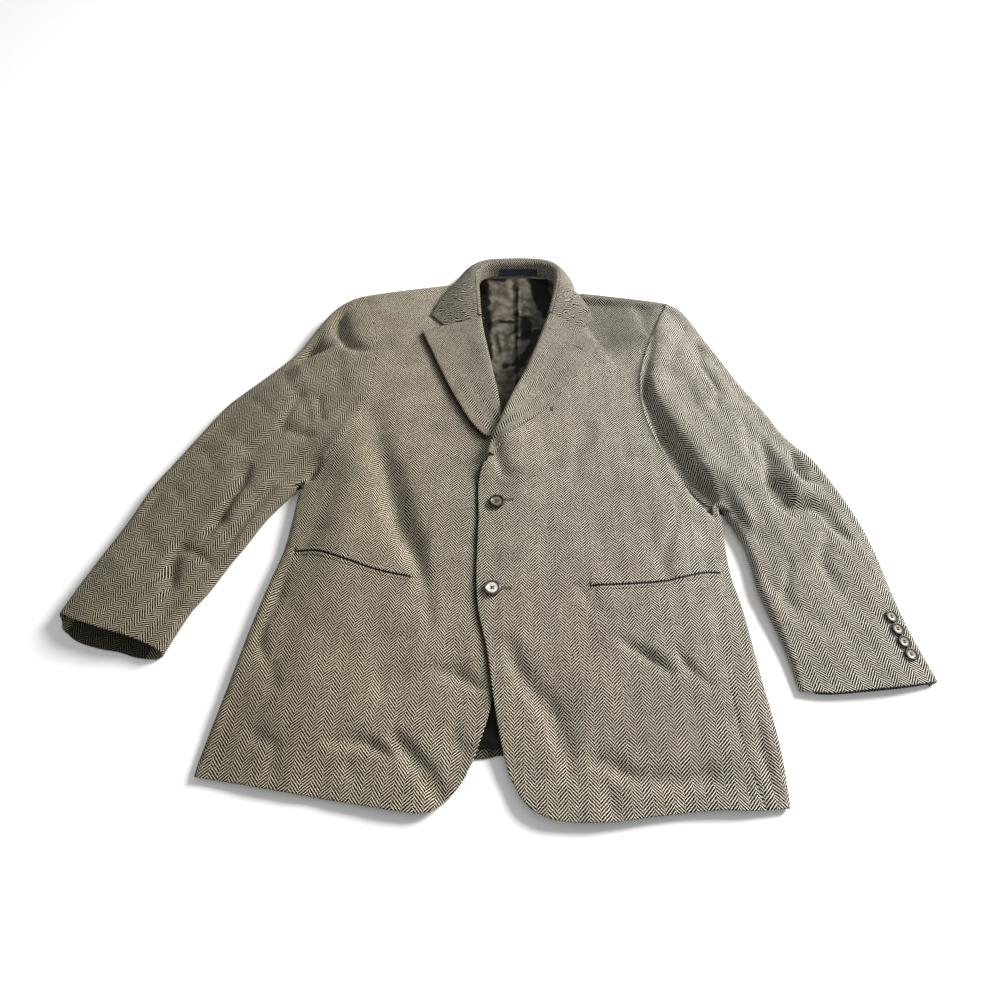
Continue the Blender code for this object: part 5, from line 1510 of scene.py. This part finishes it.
def holed_button(name, r, thick, holes, horn):
    """A button with a raised rim, its holes cut right through, lying at the origin."""
    points, faces = turned([(a * r, b * thick) for a, b in BUTTON_PROFILE], 48)
    mesh = bpy.data.meshes.new(name)
    mesh.from_pydata([tuple(c * MM for c in p) for p in points], [], faces)
    made = bpy.data.objects.new(name, mesh)
    bpy.context.scene.collection.objects.link(made)
    cuts = []
    for x, y in holes:
        bpy.ops.mesh.primitive_cylinder_add(
            vertices=16, radius=HOLE_RADIUS * r * MM, depth=6 * thick * MM,
            location=(x * MM, y * MM, 0),
        )
        cuts.append(bpy.context.active_object)
        cut = made.modifiers.new("hole", "BOOLEAN")
        cut.operation, cut.object = "DIFFERENCE", cuts[-1]
    holed = bpy.data.meshes.new_from_object(
        made.evaluated_get(bpy.context.evaluated_depsgraph_get())
    )
    made.modifiers.clear()
    made.data = holed
    for cut in cuts:
        bpy.data.objects.remove(cut)
    holed.materials.clear()
    holed.materials.append(horn)
    holed.shade_smooth()
    holed.set_sharp_from_angle(angle=math.radians(50))
    return made


def seat(x, y, r):
    """How a button lies on the cloth at (x, y): its turn from level, and its height."""
    reach = np.array([
        (x + s * r * math.cos(a), y + s * r * math.sin(a))
        for s in (0.0, 0.5, 1.0) for a in np.linspace(0, 2 * math.pi, 13)
    ])
    heights = cloth_top(reach, "left") if x > 300 else front_top(reach, "left")
    columns = np.column_stack([reach - (x, y), np.ones(len(reach))])
    slope = np.linalg.lstsq(columns, heights, None)[0]
    normal = Vector((-slope[0], -slope[1], 1)).normalized()
    above = (heights - slope[2] - (reach - (x, y)) @ slope[:2]).max()
    return Vector((0, 0, 1)).rotation_difference(normal), slope[2] + above + LAY_GAP


def make_button(name, x, y, diameter, horn, thread, crossed):
    """A four-hole button with a raised rim, sewn on, lying on the cloth under it."""
    r = diameter / 2
    thick = BUTTON_THICK * diameter
    angles = [math.pi / 4 + k * math.pi / 2 for k in range(4)]
    holes = [(HOLE_OUT * r * math.cos(a), HOLE_OUT * r * math.sin(a)) for a in angles]
    made = holed_button(name, r, thick, holes, horn)
    turn, height = seat(x, y, r)
    place = np.array([x, y, height])
    made.rotation_mode = "QUATERNION"
    made.rotation_quaternion = turn
    made.location = Vector(place - (*ORIGIN, 0)) * MM
    pairs = [(0, 2), (1, 3)] if crossed else [(0, 1), (3, 2)]
    paths = []
    for k, (one, other) in enumerate(pairs):
        a, b = np.array(holes[one]), np.array(holes[other])
        side = np.array([-(b - a)[1], (b - a)[0]]) / np.linalg.norm(b - a)
        for slip in (-0.26, 0.26):
            path = []
            for share in np.linspace(-0.06, 1.06, 9):
                arch = 1 - (2 * np.clip(share, 0, 1) - 1) ** 6
                height = thick * (0.66 + 0.05 * k) + 0.45 * arch - 1.2 * (share < 0 or share > 1)
                local = Vector((*(a + (b - a) * share + side * slip), height))
                path.append(np.array(turn @ local) + place)
            paths.append(path)
    threads(name + "_thread", paths, THREAD_RADIUS, thread)
    LOOSE.append(made)
    return made


# ---------------------------------------------------------------- materials
class Net:
    """A Principled material and short ways to add nodes to it."""

    def __init__(self, name, roughness, **constants):
        self.material = bpy.data.materials.new(name)
        self.material.use_nodes = True
        self.tree = self.material.node_tree
        self.shader = self.tree.nodes["Principled BSDF"]
        self.shader.inputs["Roughness"].default_value = roughness
        for key, value in constants.items():
            self.shader.inputs[key.replace("_", " ")].default_value = value

    def node(self, kind, inputs=(), **settings):
        made = self.tree.nodes.new("ShaderNode" + kind)
        for key, value in settings.items():
            setattr(made, key, value)
        for key, value in dict(inputs).items():
            self.feed(made.inputs[key], value)
        return made

    def feed(self, socket, value):
        if isinstance(value, bpy.types.NodeSocket):
            self.tree.links.new(value, socket)
        else:
            socket.default_value = value

    def math(self, operation, *values):
        made = self.node("Math", operation=operation)
        for socket, value in zip(made.inputs, values):
            self.feed(socket, value)
        return made.outputs[0]

    def ramp(self, value, low, high, kind="SMOOTHSTEP", to_low=0.0, to_high=1.0):
        made = self.node("MapRange", interpolation_type=kind)
        for place, amount in enumerate((value, low, high, to_low, to_high)):
            self.feed(made.inputs[place], amount)
        return made.outputs[0]

    def noise(self, vector, scale, detail=2.0):
        inputs = {"Vector": vector, "Scale": scale, "Detail": detail}
        return self.node("TexNoise", inputs).outputs[0]

    def stretched(self, vector, x, y):
        inputs = {"Vector": vector, "Scale": (x, y, 1.0)}
        return self.node("Mapping", inputs).outputs[0]

    def mix(self, share, one, other, blend="MIX"):
        made = self.node("Mix", data_type="RGBA", blend_type=blend)
        self.feed(made.inputs[0], share)
        for place, colour in ((6, one), (7, other)):
            if not isinstance(colour, bpy.types.NodeSocket):
                colour = (*colour, 1.0)
            self.feed(made.inputs[place], colour)
        return made.outputs[2]

    def finish(self, colour, height=None, distance=0.0003, strength=0.5):
        self.feed(self.shader.inputs["Base Color"], colour)
        if height is not None:
            bump = self.node("Bump", {"Height": height, "Distance": distance, "Strength": strength})
            self.feed(self.shader.inputs["Normal"], bump.outputs[0])
        return self.material

    def cloth_uv(self):
        uv = self.node("UVMap", uv_map="cloth").outputs[0]
        parts = self.node("SeparateXYZ", {"Vector": uv}).outputs
        return uv, parts[0], parts[1]

    def frame_place(self):
        place = self.node("TexCoord").outputs["Object"]
        return place, self.node("SeparateXYZ", {"Vector": place}).outputs[0]


LINING_DARK = (0.046, 0.039, 0.029)
LINING_LIGHT = (0.128, 0.113, 0.090)
# Painted shade on the neck's lining, near black where it lies deep under the fronts: a line and its
# half width.
SHADOWED = (
    ((-33, 835), (-20, 565), 13.0),
    ((2, 722), (26, 720), 3.0),
    ((10, 690), (24, 700), 3.0),
    ((8, 626), (27, 628), 4.0),
    ((41, 724), (42, 690), 8.0),
    ((34, 630), (58, 696), 6.0),
    ((60, 822), (78, 742), 15.0),
    ((34, 842), (56, 832), 9.0),
    ((-30, 826), (2, 818), 6.0),
    ((29, 845), (24, 560), 1.0),
)
COLUMN = 10.7            # width of one herringbone column, mm
TWILL_ALONG = 0.272      # twill lines per mm along and across the cloth
TWILL_ACROSS = 0.279


def tweed(name, painted_shade_ramp, painted_inner_shade=1.0):
    """The herringbone, with painted shade. The shade ramp is (x from, x to, shade there, shade
    beyond), in metres: painted shade, darker across the jacket towards the side that less light
    falls on. The inner-face shade is the painted shade of the inner side of a panel that lies on
    the floor."""
    net = Net(name, 0.95, Sheen_Weight=0.04, Sheen_Roughness=0.5, Specular_IOR_Level=0.1)
    uv, u, v = net.cloth_uv()
    place, x = net.frame_place()
    sway = net.math("MULTIPLY_ADD", net.noise(uv, 0.02, 1.0), 5.0, u)
    zig = net.math("PINGPONG", sway, COLUMN)
    step = net.math("MULTIPLY", zig, TWILL_ACROSS)
    phase = net.math("MULTIPLY_ADD", v, TWILL_ALONG, step)
    phase = net.math("MULTIPLY_ADD", net.noise(uv, 0.35, 3.0), 0.55, phase)
    column = net.math("FLOOR", net.math("DIVIDE", sway, COLUMN))
    odd = net.math("FLOORED_MODULO", column, 2.0)
    phase = net.math("MULTIPLY_ADD", odd, 0.5, phase)
    wave = net.math("MULTIPLY", net.math("PINGPONG", phase, 0.5), 2.0)
    yarn = net.noise(net.stretched(uv, 1.5, 1.0), 0.9, 3.0)
    slub = net.math("MULTIPLY_ADD", net.math("SUBTRACT", yarn, 0.5), 0.30, wave)
    line = net.ramp(slub, 0.65, 0.78)
    fibre = net.noise(uv, 1.1, 3.0)
    patch = net.noise(uv, 0.03, 3.0)
    # Painted tint of the shade: the light yarns are yellower towards the wearer's right, the side
    # in shade, and greyer towards the left.
    across_body = net.ramp(x, -0.45, 0.45)
    light = net.mix(across_body, (0.60, 0.525, 0.355), (0.67, 0.62, 0.53))
    bright = net.mix(across_body, (0.84, 0.77, 0.58), (0.88, 0.85, 0.77))
    light = net.mix(net.ramp(yarn, 0.40, 0.75), light, bright)
    dark = net.mix(net.ramp(yarn, 0.3, 0.8), (0.008, 0.006, 0.002), (0.020, 0.015, 0.008))
    colour = net.mix(line, dark, light)
    shade = net.ramp(patch, 0.25, 0.75, "LINEAR", 0.84, 1.14)
    shade = net.math("MULTIPLY", shade, net.ramp(fibre, 0.3, 0.7, "LINEAR", 0.74, 1.26))
    # Painted shadow: the mesh attribute deep darkens the cloth beside edges that lie on it.
    deep = net.node("Attribute", attribute_name="deep").outputs["Fac"]
    shade = net.math("MULTIPLY", shade, net.math("SUBTRACT", 1.0, deep))
    # Painted shade: the cloth is darker towards lower x, where less light falls.
    shade = net.math("MULTIPLY", shade, net.ramp(x, painted_shade_ramp[0], painted_shade_ramp[1], "SMOOTHSTEP", *painted_shade_ramp[2:]))
    # Painted shade on the inner face of a panel that lies on the floor.
    if painted_inner_shade != 1.0:
        z = net.node("SeparateXYZ", {"Vector": place}).outputs[2]
        face = net.ramp(z, 0.4 * WALL * MM, 0.6 * WALL * MM, "LINEAR", 1.0, painted_inner_shade)
        shade = net.math("MULTIPLY", shade, face)
    grey = net.node("CombineColor", {0: shade, 1: shade, 2: shade}).outputs[0]
    colour = net.mix(1.0, colour, grey, "MULTIPLY")
    height = net.math("MULTIPLY_ADD", fibre, 0.7, line)
    return net.finish(colour, height, 0.0004, 0.55)


def satin(name="satin_lining", shade=1.0):
    """Lining satin, with painted shade in the folds that SHADOWED lists, and all of it scaled by
    `shade`.
    """
    net = Net(name, 0.45, Specular_IOR_Level=0.12)
    uv, u, v = net.cloth_uv()
    soft = net.noise(uv, 0.06, 3.0)
    fine = net.noise(net.stretched(uv, 6.0, 0.8), 0.8, 2.0)
    colour = net.mix(net.ramp(soft, 0.35, 0.65), LINING_DARK, LINING_LIGHT)
    ragged = net.math("MULTIPLY_ADD", net.noise(uv, 0.05, 1.0), 16.0, -8.0)
    # Painted shade: the lining is near black along each line in SHADOWED.
    for (x0, y0), (x1, y1), width in SHADOWED:
        length = math.hypot(x1 - x0, y1 - y0)
        a, b = (y0 - y1) / length, (x1 - x0) / length
        away = net.math("MULTIPLY_ADD", u, a, net.math("MULTIPLY_ADD", v, b, -a * x0 - b * y0))
        off = net.math("ABSOLUTE", away)
        along_it = net.math("MULTIPLY_ADD", u, b, net.math("MULTIPLY_ADD", v, -a, a * y0 - b * x0))
        from_middle = net.math("ABSOLUTE", net.math("SUBTRACT", along_it, length / 2))
        past = net.math("SUBTRACT", from_middle, length / 2)
        off = net.math("ADD", net.math("MAXIMUM", off, past), ragged)
        colour = net.mix(net.ramp(off, width + 3.5, width - 2.5), colour, (0.003, 0.002, 0.001))
    colour = net.mix(1.0, colour, (shade, shade, shade), "MULTIPLY")
    height = net.math("MULTIPLY_ADD", fine, 0.25, soft)
    return net.finish(colour, height, 0.0006, 0.3)


def pocketing():
    net = Net("pocket_lining", 0.8)
    uv = net.cloth_uv()[0]
    colour = net.mix(net.noise(uv, 0.6), (0.006, 0.005, 0.003), (0.014, 0.011, 0.008))
    return net.finish(colour, net.noise(uv, 1.5), 0.0002, 0.3)


def label_cloth():
    net = Net("navy_label", 0.62, Sheen_Weight=0.1)
    uv, _, v = net.cloth_uv()
    rib = net.math("PINGPONG", net.math("MULTIPLY", v, 1.4), 0.5)
    mottle = net.ramp(net.noise(uv, 1.4), 0.3, 0.7)
    colour = net.mix(mottle, (0.004, 0.008, 0.024), (0.010, 0.016, 0.044))
    return net.finish(colour, rib, 0.0003, 0.5)


def horn(name, rim, face, diameter, roughness, coat):
    """A button's horn, `face` on its dish and `rim` round it, both mottled."""
    net = Net(name, roughness, Coat_Weight=coat, Coat_Roughness=0.12, Specular_IOR_Level=0.25)
    place = net.node("TexCoord").outputs["Object"]
    swirl = net.noise(net.stretched(place, 130.0, 260.0), 1.0, 4.0)
    grain = net.noise(place, 900.0, 2.0)
    flat = net.node("VectorMath", {0: place, 1: (1.0, 1.0, 0.0)}, operation="MULTIPLY").outputs[0]
    out = net.node("VectorMath", {0: flat}, operation="LENGTH").outputs["Value"]
    radius = diameter / 2 * MM
    colour = net.mix(net.ramp(out, 0.58 * radius, 0.70 * radius), face, rim)
    mottle = net.ramp(swirl, 0.32, 0.68, "LINEAR", 0.6, 1.3)
    grey = net.node("CombineColor", {0: mottle, 1: mottle, 2: mottle}).outputs[0]
    colour = net.mix(1.0, colour, grey, "MULTIPLY")
    return net.finish(colour, grain, 0.0001, 0.12)


def thread(name, colour, other):
    net = Net(name, 0.7, Sheen_Weight=0.1)
    uv = net.cloth_uv()[0]
    twist = net.noise(uv, 2.0, 2.0)
    return net.finish(net.mix(net.ramp(twist, 0.3, 0.7), colour, other), twist, 0.0001, 0.3)


def plain(name, colour, roughness):
    net = Net(name, roughness)
    return net.finish((*colour, 1.0))


# ---------------------------------------------------------------- the jacket
LAYOUTS = {"left": {
    "seam": SEAM_LEFT, "hem": HEM_LEFT, "edge": EDGE_LEFT, "cuff": CUFF_LEFT,
    "under_cuff": CUFF_LEFT,
}, "right": {
    "seam": SEAM_RIGHT, "hem": HEM_RIGHT, "edge": EDGE_RIGHT, "cuff": CUFF_RIGHT,
    "under_cuff": UNDER_CUFF_RIGHT,
}}
# For each piece of cloth: its material slot, the nodes it replaces, and what it lies on.
STANDS_FOR = {
    "cloth_collar_leaf": ("tweed_cloth", ["collar_leaf"], ["cloth_front_left"]),
    "cloth_collar_stand": ("tweed_cloth", ["collar_stand"], ["cloth_back_left"]),
    "cloth_label": ("label_cloth", ["label"], ["cloth_collar_stand"]),
    "cloth_lining_neck": ("lining_satin", ["lining_neck"], ["cloth_back_left"]),
    "cloth_lining_hem": ("lining_satin", ["lining_hem"], ["cloth_back_left"]),
    "cloth_lining_cuff": ("lining_satin", ["lining_cuff_right"], ["cloth_under_sleeve_right"]),
}
for _side in ("left", "right"):
    _front, _back = f"cloth_front_{_side}", f"cloth_back_{_side}"
    _under = ["cloth_front_right", _back] if _side == "left" else [_back]
    for _name, _nodes, _below in (
        (f"cloth_side_{_side}", [f"side_{_side}"], [_back]),
        (_front, [f"front_{_side}", f"front_{_side}_skirt"], _under),
        (_back, [f"back_{_side}"], ["floor"]),
        (f"cloth_sleeve_{_side}", [f"sleeve_{_side}_top"], [f"cloth_under_sleeve_{_side}"]),
        (f"cloth_under_sleeve_{_side}", [f"sleeve_{_side}_under"], ["floor"]),
        (f"cloth_lapel_{_side}", [f"lapel_{_side}"], [_front]),
        (f"cloth_pocket_{_side}_upper", [f"pocket_{_side}_upper"], [_front]),
        (f"cloth_pocket_{_side}_lower", [f"pocket_{_side}_lower"], [_front]),
    ):
        STANDS_FOR[_name] = ("tweed_cloth", _nodes, _below)


def lapel_top(points):
    """Height of the left lapel's upper face over the plan, away from its ends."""
    line = smooth(LAPEL_LEFT, 5.0, LAPEL_COLUMNS)
    start, end = line[:, :2], line[:, 2:4]
    middle = (start + end) / 2
    near = np.linalg.norm(points[:, None] - middle[None], axis=2).argmin(1)
    width = np.linalg.norm(end - start, axis=1)[near]
    out = (end - start)[near] / width[:, None]
    run = ((points - start[near]) * out).sum(1)
    base = front_top(points, "left")
    return base + LAPEL_GAP + LAPEL_WALL + lapel_lift(run, width, line[near, 4], PROUD["left"])


def build():
    # Tweed and copies of it with painted shade, each darker towards the wearer's right: the main
    # cloth, darker copies for the collar and lapels, and one whose inner face, lying on the floor,
    # is painted darker still.
    cloth = tweed("tweed", (-0.36, -0.10, 0.66, 0.96))
    shaded_collar_cloth = tweed("tweed_collar_painted_shade", (-0.075, 0.02, 0.42, 0.78))
    shaded_lapel_cloth = tweed("tweed_lapel_painted_shade", (-0.06, 0.06, 0.74, 0.84))
    inside = tweed("tweed_inside_painted_shade", (-0.30, 0.0, 0.6, 1.0), 0.35)
    lining_satin, navy, dark = satin(), label_cloth(), pocketing()
    # A copy of the lining satin at 0.22 of its brightness: painted shade for the hem and cuff
    # linings.
    shaded_satin = satin("satin_painted_shade", 0.22)
    brown = horn("horn_brown", (0.013, 0.009, 0.005), (0.15, 0.125, 0.10), BUTTON_FRONT, 0.4, 0.15)
    taupe = horn("horn_taupe", (0.022, 0.015, 0.010), (0.24, 0.20, 0.16), BUTTON_CUFF, 0.42, 0.15)
    grey = horn("horn_grey", (0.06, 0.055, 0.04), (0.62, 0.62, 0.57), BUTTON_FRONT, 0.3, 0.5)
    sewing = thread("thread_brown", (0.035, 0.024, 0.015), (0.075, 0.055, 0.035))
    pale = thread("thread_taupe", (0.20, 0.16, 0.11), (0.34, 0.28, 0.20))
    for side in ("left", "right"):
        make_body(side, cloth, inside)
        make_sleeve(side, cloth, inside)
        make_gusset(side, cloth)
    make_lapel("left", LAPEL_LEFT, NOTCH_LEFT, PROUD["left"], shaded_lapel_cloth)
    make_lapel("right", LAPEL_RIGHT, NOTCH_RIGHT, PROUD["right"], shaded_lapel_cloth)
    make_collar(shaded_collar_cloth, navy)
    make_neck_lining(lining_satin)
    make_hem_lining(shaded_satin)
    make_cuff_lining(shaded_satin)
    for side in ("left", "right"):
        make_pocket(side, cloth, dark)
    for name, (x, y, diameter) in BUTTONS.items():
        lower = name == "button_front_lower"
        made = make_button(
            "detail_" + name, x, y, diameter,
            grey if lower else taupe if "cuff" in name else brown,
            sewing, lower,
        )
        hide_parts(name)
    surface = body_surface("left", True)
    worked = thread("thread_hole", (0.07, 0.055, 0.04), (0.17, 0.14, 0.11))
    buttonhole("stitches_hole_upper", (6, 368), (18, 369), 1.2, surface, worked)
    buttonhole("stitches_hole_lower", (1, 248), (14, 248), 1.2, surface, worked)
    buttonhole("stitches_lapel_hole", *LAPEL_HOLE, 0.9, lapel_top, pale, 1.2)
    buttonhole("stitches_mark", (MARK[0], MARK[1] - 4), (MARK[0] + 0.6, MARK[1] + 4), 0.0, surface,
               sewing, 1.5)
    for name, (made, size, area) in PIECES.items():
        slot, nodes, below = STANDS_FOR[name]
        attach(made, "root")
        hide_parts(*nodes)
        others = GOES_WITH.get(name, [])
        for other in others:
            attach(other, "root")
        size = [max(LEAST_SHEET, side) for side in size]
    for made in LOOSE:
        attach(made, "root")


# ---------------------------------------------------------------- camera, floor and light
CAMERA_PLACE = (0.014, -0.540, 0.746)
CAMERA_TILT = 33.43      # degrees from straight down
LENS = 24.48             # mm, on a sensor 36 mm wide
FLOOR_COLOUR = (0.93, 0.93, 0.93)
SKY_STRENGTH = 0.50


def aim(thing, target):
    way = Vector(target) - thing.location
    thing.rotation_euler = way.to_track_quat("-Z", "Y").to_euler()


def key_light(azimuth, height, away, size, power, colour):
    """A round softbox `away` metres from the jacket, turned towards it."""
    data = bpy.data.lights.new("key", "AREA")
    data.shape, data.size, data.energy, data.color = "DISK", size, power, colour
    made = bpy.data.objects.new("key", data)
    azimuth, height = math.radians(azimuth), math.radians(height)
    made.location = (
        away * math.cos(height) * math.cos(azimuth), away * math.cos(height) * math.sin(azimuth),
        away * math.sin(height),
    )
    bpy.context.scene.collection.objects.link(made)
    aim(made, (0.0, 0.0, 0.0))


def set_stage():
    scene = bpy.context.scene
    bpy.ops.mesh.primitive_plane_add(size=12, location=(0, 0, -0.0004))
    floor = bpy.context.active_object
    floor.name = "floor"
    floor.data.materials.append(plain("floor_white", FLOOR_COLOUR, 0.9))
    world = bpy.data.worlds.new("studio")
    world.use_nodes = True
    sky = world.node_tree.nodes["Background"]
    sky.inputs[0].default_value = (1.0, 1.0, 1.0, 1.0)
    sky.inputs[1].default_value = SKY_STRENGTH
    scene.world = world
    key_light(
        azimuth=28.0, height=30.0, away=3.4, size=1.3, power=245.0, colour=(1.0, 0.99, 0.975),
    )
    scene.view_settings.view_transform = "Standard"
    lens = bpy.data.cameras.new("camera")
    lens.sensor_width, lens.lens = 36.0, LENS
    lens.clip_start, lens.clip_end = 0.01, 50
    camera = bpy.data.objects.new("camera", lens)
    camera.location = CAMERA_PLACE
    camera.rotation_euler = (math.radians(CAMERA_TILT), 0, 0)
    scene.collection.objects.link(camera)
    scene.camera = camera


build()
set_stage()
